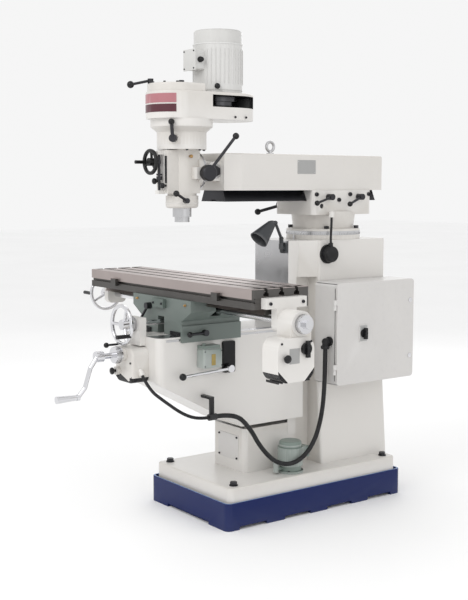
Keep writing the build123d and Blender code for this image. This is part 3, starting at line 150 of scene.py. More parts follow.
def enamel(name, colour, rough=0.32, coat=0.15, wear=0.5, specular=0.4):
    """Brushed or sprayed enamel: faint mottling, orange peel, paler worn edges."""
    s = Shader(name)
    mottle = s.ramp(s.noise(5, 6), tint(colour, 0.965), tint(colour, 1.025))
    grime = s.ramp(s.noise(38, 8), tint(colour, 0.955), colour, at=(0.30, 0.48))
    worn = s.node("ShaderNodeRGB")
    worn.outputs[0].default_value = (*[c + (0.9 - c) * wear * 0.5 for c in colour], 1)
    body = s.mix(s.spread(s.noise(11, 3), 0.25, 0.75), mottle, grime)
    s.link(s.mix(s.edges(), body, worn.outputs[0]), s.bsdf.inputs["Base Color"])
    s.link(s.spread(s.noise(22, 3), rough - 0.02, rough + 0.05), s.bsdf.inputs["Roughness"])
    s.bump(s.noise(420, 2), 0.12, 0.0004)
    s.set(Coat_Weight=coat, Coat_Roughness=0.18, Specular_IOR_Level=specular)
    return s.material


def bare_metal(name, colour, rough=0.28, stretch=(1, 1, 1), grain=900, strength=0.10):
    """Bare metal with fine tool marks along one direction and oily patches."""
    s = Shader(name)
    s.link(s.ramp(s.noise(5, 3), tint(colour, 0.92), tint(colour, 1.05), at=(0.2, 0.8)),
           s.bsdf.inputs["Base Color"])
    marks = s.noise(grain, 2, stretch)
    s.link(s.spread(s.noise(14, 2), rough - 0.03, rough + 0.05), s.bsdf.inputs["Roughness"])
    s.bump(marks, strength, 0.0003)
    s.set(Metallic=1.0)
    return s.material


def moulded(name, colour, rough=0.42, grain=700):
    """Moulded plastic or rubber: fine grain, uneven sheen."""
    s = Shader(name)
    s.link(s.ramp(s.noise(26, 6), tint(colour, 0.75), tint(colour, 1.3)), s.bsdf.inputs["Base Color"])
    s.link(s.spread(s.noise(60, 4), rough - 0.08, rough + 0.1), s.bsdf.inputs["Roughness"])
    s.bump(s.noise(grain, 3), 0.2, 0.0003)
    s.set(Specular_IOR_Level=0.3)
    return s.material


def lens(name, colour):
    """Tinted sight glass."""
    s = Shader(name)
    s.link(s.ramp(s.noise(40, 3), tint(colour, 0.8), colour), s.bsdf.inputs["Base Color"])
    s.set(Transmission_Weight=0.55, IOR=1.47, Roughness=0.08)
    return s.material


MATERIAL = {
    "white_paint": enamel("white_paint", (0.64, 0.615, 0.58)),
    "white_sheet": enamel("white_sheet", (0.62, 0.605, 0.59), rough=0.30, wear=0.3),
    "white_cast_alloy": enamel("white_cast_alloy", (0.65, 0.625, 0.59), rough=0.30),
    "motor_paint": enamel("motor_paint", (0.59, 0.585, 0.57), rough=0.34),
    "navy_paint": enamel("navy_paint", (0.002, 0.011, 0.088), rough=0.22, coat=0.0, wear=0.05,
                         specular=0.25),
    "green_grey_paint": enamel("green_grey_paint", (0.19, 0.235, 0.21), rough=0.38),
    "green_grey_cast": enamel("green_grey_cast", (0.085, 0.115, 0.10), rough=0.42, wear=0.15),
    "dark_grey_paint": enamel("dark_grey_paint", (0.045, 0.048, 0.052), rough=0.36, wear=0.1,
                              coat=0.0, specular=0.3),
    "black_paint": enamel("black_paint", (0.008, 0.008, 0.009), rough=0.34, wear=0.05, coat=0.0,
                          specular=0.25),
    # painted highlight: a pale blue copy of the plinth's navy, for the glint on the rim's top
    "rim_painted_glint": enamel("rim_painted_glint", (0.16, 0.27, 0.52), rough=0.2, wear=0.3),
    "maroon_paint": enamel("maroon_paint", (0.085, 0.018, 0.028), rough=0.32, wear=0.1),
    "pink_paint": enamel("pink_paint", (0.42, 0.17, 0.19), rough=0.30, wear=0.2),
    "plate_grey": enamel("plate_grey", (0.33, 0.33, 0.325), rough=0.35, wear=0.3),
    # painted shade: a darker copy of ground_iron, for the table's sides and underside
    "table_painted_shade": bare_metal("table_painted_shade", (0.12, 0.115, 0.11), rough=0.44, stretch=(0.06, 1, 1)),
    "dark_steel": bare_metal("dark_steel", (0.055, 0.055, 0.06), rough=0.34),
    "ground_steel": bare_metal("ground_steel", (0.56, 0.56, 0.57), stretch=(1, 1, 14)),
    "ground_iron": bare_metal("ground_iron", (0.44, 0.385, 0.37), rough=0.42, stretch=(0.06, 1, 1)),
    "chrome": bare_metal("chrome", (0.72, 0.72, 0.74), rough=0.12, strength=0.03),
    "bronze": bare_metal("bronze", (0.50, 0.31, 0.13), rough=0.34),
    # painted shade: the pulleys' alloy is near black, standing in for the shade inside the belt housing
    "pulley_alloy": bare_metal("pulley_alloy", (0.085, 0.085, 0.09), stretch=(1, 1, 18)),
    "black_plastic": moulded("black_plastic", (0.012, 0.012, 0.013), rough=0.26),
    "black_rubber": moulded("black_rubber", (0.014, 0.014, 0.015), rough=0.52, grain=1100),
    "oil_glass": lens("oil_glass", (0.75, 0.55, 0.16)),
    "lamp_white": enamel("lamp_white", (0.85, 0.85, 0.82), rough=0.3, wear=0.0),
}

# =============================================================================
# Mesh helpers
# =============================================================================

CAD_SMOOTH_ANGLE = math.radians(34)
PIECE_SMOOTH_ANGLE = math.radians(38)
PLATE_BEVEL = 0.0012
TICK_SIZE = (0.0006, 0.0007)
BALL_MARGIN = 1.12


def turned(axis):
    """The rotation that takes +Z to axis."""
    return Z.rotation_difference(Vector(axis)).to_matrix().to_4x4()


def on_circle(centre, radius, degrees):
    """Points on a level circle, at the given angles from +X."""
    return [Vector(centre) + Vector((radius * math.cos(a), radius * math.sin(a), 0))
            for a in map(math.radians, degrees)]


def steps(count):
    """Evenly spaced angles round a circle, in degrees."""
    return [360 * i / count for i in range(count)]


def finish_piece(name, bm, material, body, bevel=0.0):
    mesh = bpy.data.meshes.new(name)
    bmesh.ops.recalc_face_normals(bm, faces=bm.faces)
    bm.to_mesh(mesh)
    bm.free()
    mesh.materials.append(MATERIAL[material])
    mesh.shade_smooth()
    piece = bpy.data.objects.new(name, mesh)
    bpy.context.scene.collection.objects.link(piece)
    if bevel:
        edge = piece.modifiers.new("edge", "BEVEL")
        edge.width = bevel
        edge.segments = 3
        edge.limit_method = "ANGLE"
        edge.harden_normals = True
    with bpy.context.temp_override(object=piece, selected_editable_objects=[piece]):
        bpy.ops.object.shade_smooth_by_angle(angle=PIECE_SMOOTH_ANGLE)
    if body:
        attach(piece, body)
    return piece


def lathe_into(bm, profile, origin, axis, sides=48, hollow=False):
    """Adds a turned shape of (radius, height) pairs along axis: a solid, or an open band if hollow."""
    place = Matrix.Translation(origin) @ turned(axis)
    rings = []
    for radius, height in profile:
        ring = []
        for i in range(sides):
            a = 2 * math.pi * i / sides
            ring.append(bm.verts.new(place @ Vector((radius * math.cos(a), radius * math.sin(a), height))))
        rings.append(ring)
    for low, high in zip(rings, rings[1:] + rings[:1] if hollow else rings[1:]):
        for i in range(sides):
            j = (i + 1) % sides
            bm.faces.new((low[i], low[j], high[j], high[i]))
    if not hollow:
        bm.faces.new(list(reversed(rings[0])))
        bm.faces.new(rings[-1])


def slab_into(bm, centre, size, axis=Z, spin=0.0):
    """Adds a box with its third size along axis."""
    place = Matrix.Translation(centre) @ turned(axis) @ Matrix.Rotation(spin, 4, "Z")
    bmesh.ops.create_cube(bm, size=1, matrix=place @ Matrix.Diagonal((*size, 1)))


def lathe(name, profile, origin, axis, material, body, sides=48, hollow=False):
    bm = bmesh.new()
    lathe_into(bm, profile, origin, axis, sides, hollow)
    finish_piece(name, bm, material, body)


def plate(name, centre, size, axis, material, body):
    bm = bmesh.new()
    slab_into(bm, centre, size, axis)
    finish_piece(name, bm, material, body, bevel=PLATE_BEVEL)


def cap_screws(name, places, axis, radius, body):
    """Socket-head screws: a chamfered head with a recess."""
    bm = bmesh.new()
    r = radius
    for place in places:
        lathe_into(bm, [(r, 0), (r, 0.75 * r), (0.86 * r, 0.95 * r), (0.52 * r, 0.95 * r),
                        (0.50 * r, 0.45 * r), (0.02 * r, 0.40 * r)], place, axis, 24)
    finish_piece(name, bm, "dark_steel", body)


def knob_profile(radius, length):
    """A mushroom knob with a waisted neck and a domed face."""
    dome = [(radius * math.cos(a), length * 0.72 + length * 0.28 * math.sin(a))
            for a in (0, 0.4, 0.8, 1.15, 1.45)]
    return [(0.42 * radius, 0), (0.38 * radius, 0.30 * length), (0.80 * radius, 0.42 * length),
            (0.98 * radius, 0.55 * length), *dome]


def dial_ticks(name, origin, axis, radius, width, count, body):
    """Graduations round a dial or a flange, every fifth one long."""
    bm = bmesh.new()
    place = Matrix.Translation(origin) @ turned(axis)
    for i in range(count):
        a = math.radians(360 * i / count)
        tall = width if i % 5 == 0 else width * 0.55
        at = Vector((radius * math.cos(a), radius * math.sin(a), tall / 2))
        turn = place @ Matrix.Translation(at) @ Matrix.Rotation(a, 4, "Z")
        bmesh.ops.create_cube(bm, size=1, matrix=turn @ Matrix.Diagonal((*TICK_SIZE, tall, 1)))
    finish_piece(name, bm, "black_paint", body)


def repaint(node, material, inside):
    """Gives the CAD faces whose centre passes the test another material."""
    mesh = NODES[node].data
    if MATERIAL[material].name not in mesh.materials:
        mesh.materials.append(MATERIAL[material])
    index = mesh.materials.find(MATERIAL[material].name)
    for face in mesh.polygons:
        if inside(face.center, face.normal):
            face.material_index = index


def ball_at_tip(node, direction, radius):
    """Makes the ball on the end of a lever black plastic."""
    along = Vector(direction).normalized()
    tip = max((v.co for v in NODES[node].data.vertices), key=lambda p: p.dot(along))
    centre = tip - along * radius
    repaint(node, "black_plastic", lambda p, n: (p - centre).length < radius * BALL_MARGIN)


# =============================================================================
# CAD nodes: their own materials, soft edges
# =============================================================================

SLOT_OF = {entry["node"]: entry["material_slot"] for entry in frame["record"]["subparts"]}

for node, piece in NODES.items():
    piece.data.materials.clear()
    piece.data.materials.append(MATERIAL[SLOT_OF[node]])
    with bpy.context.temp_override(object=piece, selected_editable_objects=[piece]):
        bpy.ops.object.shade_smooth_by_angle(angle=CAD_SMOOTH_ANGLE)

BACK_OF_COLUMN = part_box("column_casting")[1].y
TOP_OF_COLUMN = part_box("column_casting")[1].z
KNEE_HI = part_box("knee_casting")[1]
TABLE_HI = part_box("table")[1]
SADDLE_LO, SADDLE_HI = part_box("saddle_casting")
RAM_LO, RAM_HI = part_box("ram_casting")
MOTOR_LO, MOTOR_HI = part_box("motor")
BELT_LO, BELT_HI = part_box("belt_housing")
MOTOR_AXIS_Y = MOTOR_HI.y - MOTOR_HI.x
QUILL_Y = JOINT["spindle_turn"]["pos_m"][1]
SWIVEL = Vector(JOINT["head_swivel"]["pos_m"])
TURRET = Vector(JOINT["turret_turn"]["pos_m"])
LEAD = Vector(JOINT["lead_screw_turn"]["pos_m"])

# bare ways on the column and the knee; painted shade on the dovetail under the ram
WAY_FACE_Y = 0.0085
WAY_HALF_WIDTH = 0.130
WAY_FOOT_Z = 0.41
KNEE_WAY_DEPTH = 0.13
KNEE_WAY_INNER_X = 0.06
RAM_DOVETAIL_DEPTH = 0.052
repaint("column_casting", "ground_steel",
        lambda p, n: (n.y < -0.9 and p.y < WAY_FACE_Y and abs(p.x) < WAY_HALF_WIDTH
                      and p.z > WAY_FOOT_Z))
repaint("knee_casting", "ground_steel",
        lambda p, n: n.z > 0.9 and p.z > KNEE_HI.z - KNEE_WAY_DEPTH and abs(p.x) > KNEE_WAY_INNER_X)
# painted shade: the ram's dovetail underside is painted dark steel, standing in for the shade under the ram
repaint("ram_casting", "dark_steel", lambda p, n: p.z < RAM_LO.z + RAM_DOVETAIL_DEPTH)

# painted shade: the table's faces that don't face up get a darker copy of its ground iron, but for a ground band
# along the front face
TABLE_HALF_WIDTH = 0.149
TABLE_BAND = 0.040
TABLE_FRONT_Y = LEAD.y - TABLE_HALF_WIDTH
repaint("table", "table_painted_shade", lambda p, n: n.z < 0.5
        and not (abs(p.y - TABLE_FRONT_Y) < 0.001 and p.z > TABLE_HI.z - TABLE_BAND))

# painted highlight: a pale blue glint painted on the top face of the plinth's rim, standing in for its reflection
RIM_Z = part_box("plinth_tray")[1].z - 0.004
repaint("plinth_tray", "rim_painted_glint", lambda p, n: n.z > 0.9 and p.z > RIM_Z)

# the bulb inside the lamp's hood
BULB = Vector((0.150, -0.202, 1.3175))
BULB_RADIUS = 0.0225
repaint("lamp_head", "lamp_white", lambda p, n: (p - BULB).length < BULB_RADIUS)

# painted shade: the bottom band of each of the two power feeds is painted black plastic, standing in for the shade
# under it
for node, height in (("table_power_feed", 0.038), ("knee_power_feed", 0.026)):
    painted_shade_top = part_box(node)[0].z + height
    repaint(node, "black_plastic", lambda p, n: p.z < painted_shade_top)

# plastic balls on the levers: the way each points, and the ball's radius
BALLS = {
    "ram_pinion": ((-0.2, -1, -0.25), 0.016), "ram_lock_front": ((0.3, -1, -0.3), 0.013),
    "ram_lock_rear": ((0.3, -1, -0.4), 0.013), "coarse_feed_lever": ((0.1, 0.63, 0.77), 0.015),
    "quill_lock_lever": ((0.1, -0.9, 0.4), 0.014), "brake_lever": ((-0.1, -1, -0.2), 0.016),
    "range_lever": ((0.5, -0.6, 0.6), 0.014), "knee_feed_lever": ((-0.15, -1, 0), 0.012),
    "knee_lock_lever": ((0.05, -1, 0), 0.016), "saddle_lock_lever": ((0.1, -1, 0), 0.013),
    "table_lock_lever": ((-0.4, -0.3, -0.85), 0.014),
}
for node, (direction, radius) in BALLS.items():
    ball_at_tip(node, direction, radius)

# plastic grips on the handwheels
CROSS_GRIP_END_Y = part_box("cross_screw")[0].y + 0.052
LEAD_GRIP_END_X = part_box("lead_screw")[0].x + 0.056
repaint("cross_screw", "black_plastic", lambda p, n: p.y < CROSS_GRIP_END_Y)
repaint("lead_screw", "black_plastic", lambda p, n: p.x < LEAD_GRIP_END_X)
repaint("fine_feed_handwheel", "black_plastic", lambda p, n: True)

SIDES = (("l", -1), ("r", 1))

# the cords' routes, with part.py's points in metres
LOOP_ROUTE = [
    (0.292, 0.052, 0.770), (0.292, 0.052, 0.602), (0.294, 0.030, 0.436), (0.298, -0.028, 0.312),
    (0.300, -0.128, 0.246), (0.280, -0.226, 0.256), (0.254, -0.300, 0.336), (0.240, -0.356, 0.440),
    (0.234, -0.434, 0.512), (0.234, -0.5377, 0.512),
]
CABLE_ROUTE = [
    (0.204, 0.158, 1.262), (0.204, 0.158, 1.303), (0.188, 0.176, 1.344), (0.188, 0.176, 1.3832),
]
CONDUIT_ROUTE = [
    (0.234, -0.578, 0.512), (0.234, -0.634, 0.512), (0.220, -0.706, 0.540), (0.188, -0.782, 0.602),
    (0.146, -0.830, 0.650), (0.092, -0.832, 0.704),
]

# =============================================================================
# Head
# =============================================================================


def motor_details():
    axis = Vector((0, MOTOR_AXIS_Y, 0))
    top = MOTOR_HI.z
    r = MOTOR_HI.x
    cowl_seam = [(r - 0.004, 0), (r + 0.002, 0.001), (r + 0.002, 0.006), (r - 0.004, 0.007)]
    lathe("fan_cowl_seam", cowl_seam, axis + Z * (top - 0.066), Z, "motor_paint", "head", sides=96,
          hollow=True)
    # painted shade: the fan cowl's vent holes are black discs on its top, standing in for the shade inside the
    # holes
    vents = bmesh.new()
    for ring, count in ((0.035, 10), (0.055, 16), (0.075, 22)):
        for at in on_circle(axis + Z * (top + 0.0004), ring, steps(count)):
            lathe_into(vents, [(0.0045, 0), (0.0045, 0.0006), (0.001, 0.0007)], at, Z, 12)
    finish_piece("cowl_vent_shade", vents, "black_paint", "head")
    fins = bmesh.new()
    fin_z = (MOTOR_LO.z + top) / 2 - 0.022
    terminal_box_at, terminal_box_half = 270, 28
    fin_angles = [k for k in steps(36) if abs(k - terminal_box_at) >= terminal_box_half]
    for k, at in zip(fin_angles, on_circle(axis + Z * fin_z, r, fin_angles)):
        slab_into(fins, at, (0.005, 0.0022, 0.155), Z, math.radians(k))
    finish_piece("motor_fins", fins, "motor_paint", "head", bevel=0.0006)
    cap_screws("motor_flange_screws", on_circle(axis + Z * (MOTOR_LO.z + 0.016), 0.098, steps(6)), Z,
               0.006, "head")
    facing = Vector((0.806, -0.592, 0))
    knob_at = axis + facing * (r - 0.001) + Z * (MOTOR_LO.z + 0.028)
    lathe("belt_tension_knob", knob_profile(0.013, 0.022), knob_at, facing, "black_plastic", "head",
          sides=32)
    front = MOTOR_LO.y
    lid_z = 2.096
    lid_screw = 0.038
    plate("terminal_box_lid", (0, front + 0.001, lid_z), (0.094, 0.094, 0.007), -Y, "motor_paint", "head")
    corners = [Vector((x, front - 0.002, lid_z + z)) for x in (-lid_screw, lid_screw)
               for z in (-lid_screw, lid_screw)]
    cap_screws("terminal_box_screws", corners, -Y, 0.0035, "head")
    lathe("terminal_gland", [(0.013, 0), (0.013, 0.008), (0.010, 0.009), (0.010, 0.020), (0.007, 0.024)],
          (0.043, front + 0.026, lid_z), X, "black_rubber", "head", sides=24)


def inside_belt_housing(p, n):
    """True for the faces that look into the belt housing, which get painted shade."""
    middle_z = (BELT_LO.z + BELT_HI.z) / 2
    if abs(n.z) > 0.5:
        return (n.z < 0) == (p.z > middle_z) and BELT_LO.z + 0.002 < p.z < BELT_HI.z - 0.002
    axis = Vector((0, min(max(p.y, QUILL_Y), MOTOR_AXIS_Y), p.z))
    return (p - axis).dot(n) < 0


def belt_housing_details():
    # painted shade: the faces inside the belt housing are painted black, standing in for the shade in it
    repaint("belt_housing", "black_paint", inside_belt_housing)
    nose = Vector((0, BELT_LO.y + 0.125, 0))
    inner, outer = 0.1252, 0.1265
    half_sweep, parts = 62, 32
    angles = [-90 - half_sweep + 2 * half_sweep * i / parts for i in range(parts + 1)]
    for name, low, high, material in (("front_band_upper", 1.896, 1.936, "pink_paint"),
                                      ("front_band_lower", 1.856, 1.890, "maroon_paint")):
        bm = bmesh.new()
        edges = [on_circle(nose + Z * z, radius, angles)
                 for radius, z in ((inner, low), (outer, low), (outer, high), (inner, high))]
        rows = [[bm.verts.new(edge[i]) for edge in edges] for i in range(parts + 1)]
        for here, ahead in zip(rows, rows[1:]):
            for i in range(4):
                j = (i + 1) % 4
                bm.faces.new((here[i], here[j], ahead[j], ahead[i]))
        bm.faces.new(rows[0])
        bm.faces.new(list(reversed(rows[-1])))
        finish_piece(name, bm, material, "head", bevel=0.0005)
    cap_screws("bonnet_screws", on_circle(nose + Z * BELT_HI.z, 0.108, (205, 235, 270, 305, 335)), Z,
               0.0055, "head")
    lathe("belt_housing_rim", [(0.0275, 0), (0.0275, 0.006), (0.0245, 0.008)],
          (0, QUILL_Y, BELT_HI.z), Z, "chrome", "head", sides=40)
    for letter, side in SIDES:
        joint = [Vector((side * 0.137, y, 1.8415)) for y in (-0.36, -0.30)]
        cap_screws(f"belt_housing_screws_{letter}", joint, X * side, 0.005, "head")


def quill_housing_details():
    lo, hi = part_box("quill_housing")
    axis = Vector((0, QUILL_Y, 0))
    cap_screws("gear_flange_screws", on_circle(axis + Z * (hi.z - 0.020), 0.100,
                                               (20, 60, 120, 160, 200, 340)), -Z, 0.006, "head")
    front = QUILL_Y - 0.104
    scale_x, first_mark_z, mark_step = 0.030, 1.552, 0.0045
    plate("depth_scale", (scale_x, front - 0.0008, 1.606), (0.016, 0.120, 0.0016), -Y, "black_paint",
          "head")
    marks = bmesh.new()
    for i in range(25):
        width = 0.010 if i % 5 == 0 else 0.006
        slab_into(marks, (scale_x, front - 0.0018, first_mark_z + i * mark_step), (width, 0.0006, 0.0006))
    finish_piece("depth_scale_marks", marks, "ground_steel", "head")
    knobs = bmesh.new()
    for x, z, radius in ((0.030, 1.535, 0.013), (-0.036, 1.555, 0.014)):
        lathe_into(knobs, knob_profile(radius, 0.030), (x, front, z), -Y, 32)
    finish_piece("feed_knobs", knobs, "black_plastic", "head")
    for name, radius, length, ahead, z in (("feed_selector", 0.019, 0.034, 0.010, 1.548),
                                           ("feed_engage_knob", 0.016, 0.030, 0.020, 1.640)):
        lathe(name, knob_profile(radius, length), (-0.066, QUILL_Y - ahead, z), -X, "black_plastic",
              "head", sides=36)
    lathe("oil_cup", [(0.005, 0), (0.005, 0.006), (0.0075, 0.008), (0.0075, 0.014), (0.004, 0.017)],
          (0.0665, QUILL_Y, 1.665), X, "bronze", "head", sides=24)
    seam = [(0.098, 0), (0.1075, 0.001), (0.1075, 0.005), (0.098, 0.006)]
    seam_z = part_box("back_gear_housing")[0].z - 0.0062
    lathe("gear_case_seam", seam, axis + Z * seam_z, Z, "black_paint", "head", sides=96, hollow=True)
    band = [(0.0742, 0.020), (0.0752, 0.021), (0.0752, 0.025), (0.0742, 0.026)]
    lathe("clamp_ring_band", band, axis + Z * lo.z, Z, "white_paint", "head", sides=80, hollow=True)


def swivel_details():
    lathe("swivel_scale_ring", [(0.0858, 0), (0.0865, 0.001), (0.0865, 0.010), (0.0858, 0.011)],
          SWIVEL + Y * 0.0015, Y, "ground_steel", "knuckle", sides=96, hollow=True)
    dial_ticks("swivel_ticks", SWIVEL + Y * 0.002, Y, 0.0866, 0.008, 72, "knuckle")
    tilt = Vector(JOINT["head_tilt"]["pos_m"])
    for letter, side in SIDES:
        lathe(f"tilt_washer_{letter}", [(0.034, 0), (0.034, 0.0012), (0.030, 0.0022)],
              tilt + X * side * 0.0832, X * side, "ground_steel", "ram", sides=48)


def ram_details():
    side = RAM_HI.x
    plate("ram_plate", (side + 0.0006, 0.062, 1.623), (0.065, 0.112, 0.0016), X, "plate_grey", "ram")
    rivet = [(0.0024, 0), (0.0020, 0.0010), (0.0008, 0.0014)]
    rivets = bmesh.new()
    for y in (0.012, 0.112):
        for z in (1.597, 1.649):
            lathe_into(rivets, rivet, (side + 0.0012, y, z), X, 14)
    finish_piece("ram_plate_rivets", rivets, "ground_steel", "ram")
    cover_z = 1.598
    plate("ram_rear_cover", (0, RAM_HI.y + 0.0015, cover_z), (0.200, 0.118, 0.004), Y, "white_paint",
          "ram")
    corners = [Vector((x, RAM_HI.y + 0.003, cover_z + z)) for x in (-0.088, 0.088)
               for z in (-0.047, 0.047)]
    cap_screws("ram_rear_screws", corners, Y, 0.0055, "ram")
    eye_lo, eye_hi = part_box("lifting_eye")
    lathe("lifting_eye_pad", [(0.024, 0), (0.024, 0.002), (0.019, 0.004)],
          (0, (eye_lo.y + eye_hi.y) / 2, RAM_HI.z), Z, "white_paint", "ram", sides=48)


def turret_details():
    lathe("turret_scale", [(0.1832, 0), (0.1840, 0.001), (0.1840, 0.018), (0.1832, 0.019)],
          (0, TURRET.y, 1.296), Z, "ground_steel", "turret", sides=120, hollow=True)
    dial_ticks("turret_ticks", Vector((0, TURRET.y, 1.298)), Z, 0.1841, 0.013, 120, "turret")
    gib_face_x = 0.146
    gibs = ((0.115, 1.493), (0.258, 1.466), (0.330, 1.493), (0.455, 1.493))
    for name, side in (("right", 1), ("left", -1)):
        spots = [Vector((side * gib_face_x, y, z)) for y, z in gibs]
        cap_screws(f"gib_screws_{name}", spots, X * side, 0.010, "turret")


# =============================================================================
# Column, cabinet, base
# =============================================================================


def column_details():
    cover_z = 0.86
    plate("column_rear_cover", (0, BACK_OF_COLUMN + 0.002, cover_z), (0.250, 0.420, 0.005), Y,
          "white_sheet", "frame")
    corners = [Vector((x, BACK_OF_COLUMN + 0.0042, cover_z + z)) for x in (-0.112, 0.112)
               for z in (-0.195, 0, 0.195)]
    cap_screws("rear_cover_screws", corners, Y, 0.006, "frame")
    louvres = bmesh.new()
    for k in range(7):
        slab_into(louvres, (0, BACK_OF_COLUMN + 0.006, 0.74 + k * 0.024), (0.150, 0.007, 0.004))
    finish_piece("rear_louvres", louvres, "white_sheet", "frame", bevel=0.0015)
    plate("turret_pointer", (0, TURRET.y - 0.189, TOP_OF_COLUMN + 0.010), (0.012, 0.020, 0.003), -Y,
          "ground_steel", "frame")
    gland_face_x, gland_y, gland_z, gland_screw_radius = 0.188, 0.158, 1.208, 0.0415
    around = [Vector((gland_face_x, gland_y + gland_screw_radius * math.cos(a),
                      gland_z + gland_screw_radius * math.sin(a)))
              for a in map(math.radians, (20, 110, 200, 290))]
    cap_screws("gland_screws", around, X, 0.0042, "frame")
    hatch_z = 0.300
    plate("coolant_hatch", (0, -0.3005, hatch_z), (0.160, 0.120, 0.003), -Y, "white_sheet", "frame")
    corners = [Vector((x, -0.3022, hatch_z + z)) for x in (-0.070, 0.070) for z in (-0.050, 0.050)]
    cap_screws("coolant_hatch_screws", corners, -Y, 0.005, "frame")


def cabinet_details():
    door_x, switch_y, switch_z = JOINT["switch_turn"]["pos_m"][0], 0.247, 0.835
    for k, z in enumerate((0.700, 0.975)):
        lathe(f"door_lock_{k}", [(0.011, 0), (0.011, 0.003), (0.008, 0.0045), (0.003, 0.0045)],
              (door_x, 0.560, z), X, "chrome", "cabinet_door", sides=32)
    plate("switch_plate", (door_x + 0.0052, switch_y, switch_z), (0.076, 0.046, 0.001), X, "plate_grey",
          "cabinet_door")
    lo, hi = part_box("electrical_cabinet")
    louvres = bmesh.new()
    for k in range(6):
        slab_into(louvres, (0.256, hi.y + 0.001, 0.65 + k * 0.02), (0.090, 0.006, 0.004))
    finish_piece("cabinet_louvres", louvres, "white_sheet", "frame", bevel=0.0012)
    gasket = bmesh.new()
    for y in (lo.y + 0.012, hi.y - 0.003):
        slab_into(gasket, (0.3311, y, (lo.z + hi.z) / 2), (0.0006, 0.003, 0.44))
    finish_piece("door_gasket", gasket, "black_rubber", "frame", bevel=0.0003)


def base_details():
    lo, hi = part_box("coolant_pump")
    pump = Vector(((lo.x + hi.x) / 2, -0.100, 0))
    cap_screws("pump_screws", on_circle(pump + Z * 0.200, 0.057, (45, 135, 225, 315)), Z, 0.004, "frame")
    lathe("pump_cap_ring", [(0.0535, 0), (0.0545, 0.002), (0.0545, 0.006), (0.0535, 0.008)],
          pump + Z * 0.316, Z, "green_grey_paint", "frame", sides=64, hollow=True)
    lo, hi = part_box("hose_elbow")
    lathe("hose_nut", [(0.0195, 0), (0.0215, 0.002), (0.0215, 0.012), (0.0195, 0.014)],
          ((lo.x + hi.x) / 2, LOOP_ROUTE[0][1], lo.z + 0.002), Z, "black_plastic", "frame", sides=6)


# =============================================================================
# Knee, saddle and table
# =============================================================================


def dial(name, origin, axis, radius, depth, body):
    """A satin dial with graduations round its rim."""
    profile = [(radius * 0.86, 0), (radius, depth * 0.12), (radius, depth * 0.88), (radius * 0.90, depth)]
    lathe(name, profile, origin, axis, "ground_steel", body, sides=72)
    dial_ticks(f"{name}_ticks", Vector(origin) + Vector(axis) * depth * 0.14, axis, radius + 0.0002,
               depth * 0.5, 50, body)


def knee_details():
    feed_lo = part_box("knee_power_feed")[0]
    case_front = feed_lo.y + 0.022
    screws = [Vector((x, case_front, z)) for x in (-0.058, 0.058) for z in (0.690, 0.760)]
    cap_screws("knee_feed_screws", screws, -Y, 0.0045, "knee")
    lathe("knee_feed_speed_knob", knob_profile(0.016, 0.026), (-0.044, case_front - 0.018, 0.716), -Y,
          "black_plastic", "knee", sides=36)
    crank_z = JOINT["elevating_crank_turn"]["pos_m"][2]
    dial("crank_dial", (0, feed_lo.y - 0.003, crank_z), -Y, 0.0372, 0.024, "elevating_crank")
    cross_z = JOINT["cross_screw_turn"]["pos_m"][2]
    dial("cross_dial", (0, -0.8215, cross_z), -Y, 0.0332, 0.022, "cross_screw")
    pump_face_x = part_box("lube_pump")[1].x
    plate("oil_sight", (pump_face_x + 0.0006, -0.541, 0.766), (0.050, 0.022, 0.002), X, "oil_glass",
          "knee")
    lid = [Vector((pump_face_x - 0.002, y, z)) for y in (-0.585, -0.497) for z in (0.738, 0.804)]
    cap_screws("lube_pump_screws", lid, X, 0.003, "knee")
    plate("knee_way_strip", (KNEE_HI.x + 0.0008, -0.40, 0.858), (0.010, 0.700, 0.0018), X,
          "ground_steel", "knee")
    keepers = [Vector((x, 0.028, z)) for x in (-0.140, 0.140) for z in (0.46, 0.56, 0.66, 0.76, 0.85)]
    cap_screws("keeper_screws", keepers, Y, 0.007, "knee")


def saddle_details():
    wiper_z = 0.883
    for name, side, y in (("front", -1, SADDLE_LO.y), ("rear", 1, SADDLE_HI.y)):
        wipers = bmesh.new()
        for x in (-0.120, 0.120):
            slab_into(wipers, (x, y + side * 0.003, wiper_z), (0.078, 0.006, 0.018))
        finish_piece(f"saddle_wipers_{name}", wipers, "black_rubber", "saddle", bevel=0.001)
        spots = [Vector((x, y + side * 0.006, wiper_z)) for x in (-0.145, -0.095, 0.095, 0.145)]
        cap_screws(f"wiper_screws_{name}", spots, Y * side, 0.0035, "saddle")
    trip_z = 1.010
    plate("feed_trip_block", (0, SADDLE_LO.y - 0.010, trip_z), (0.090, 0.040, 0.018), -Y,
          "green_grey_cast", "saddle")
    spots = [Vector((x, SADDLE_LO.y - 0.019, trip_z)) for x in (-0.034, 0.034)]
    cap_screws("trip_screws", spots, -Y, 0.005, "saddle")
    nipple = [(0.006, 0), (0.006, 0.003), (0.0035, 0.004), (0.0042, 0.009), (0.002, 0.011)]
    nipples = bmesh.new()
    for x in (-0.200, 0.200):
        lathe_into(nipples, nipple, (x, SADDLE_LO.y, 1.015), -Y, 20)
    finish_piece("oil_nipples", nipples, "bronze", "saddle")


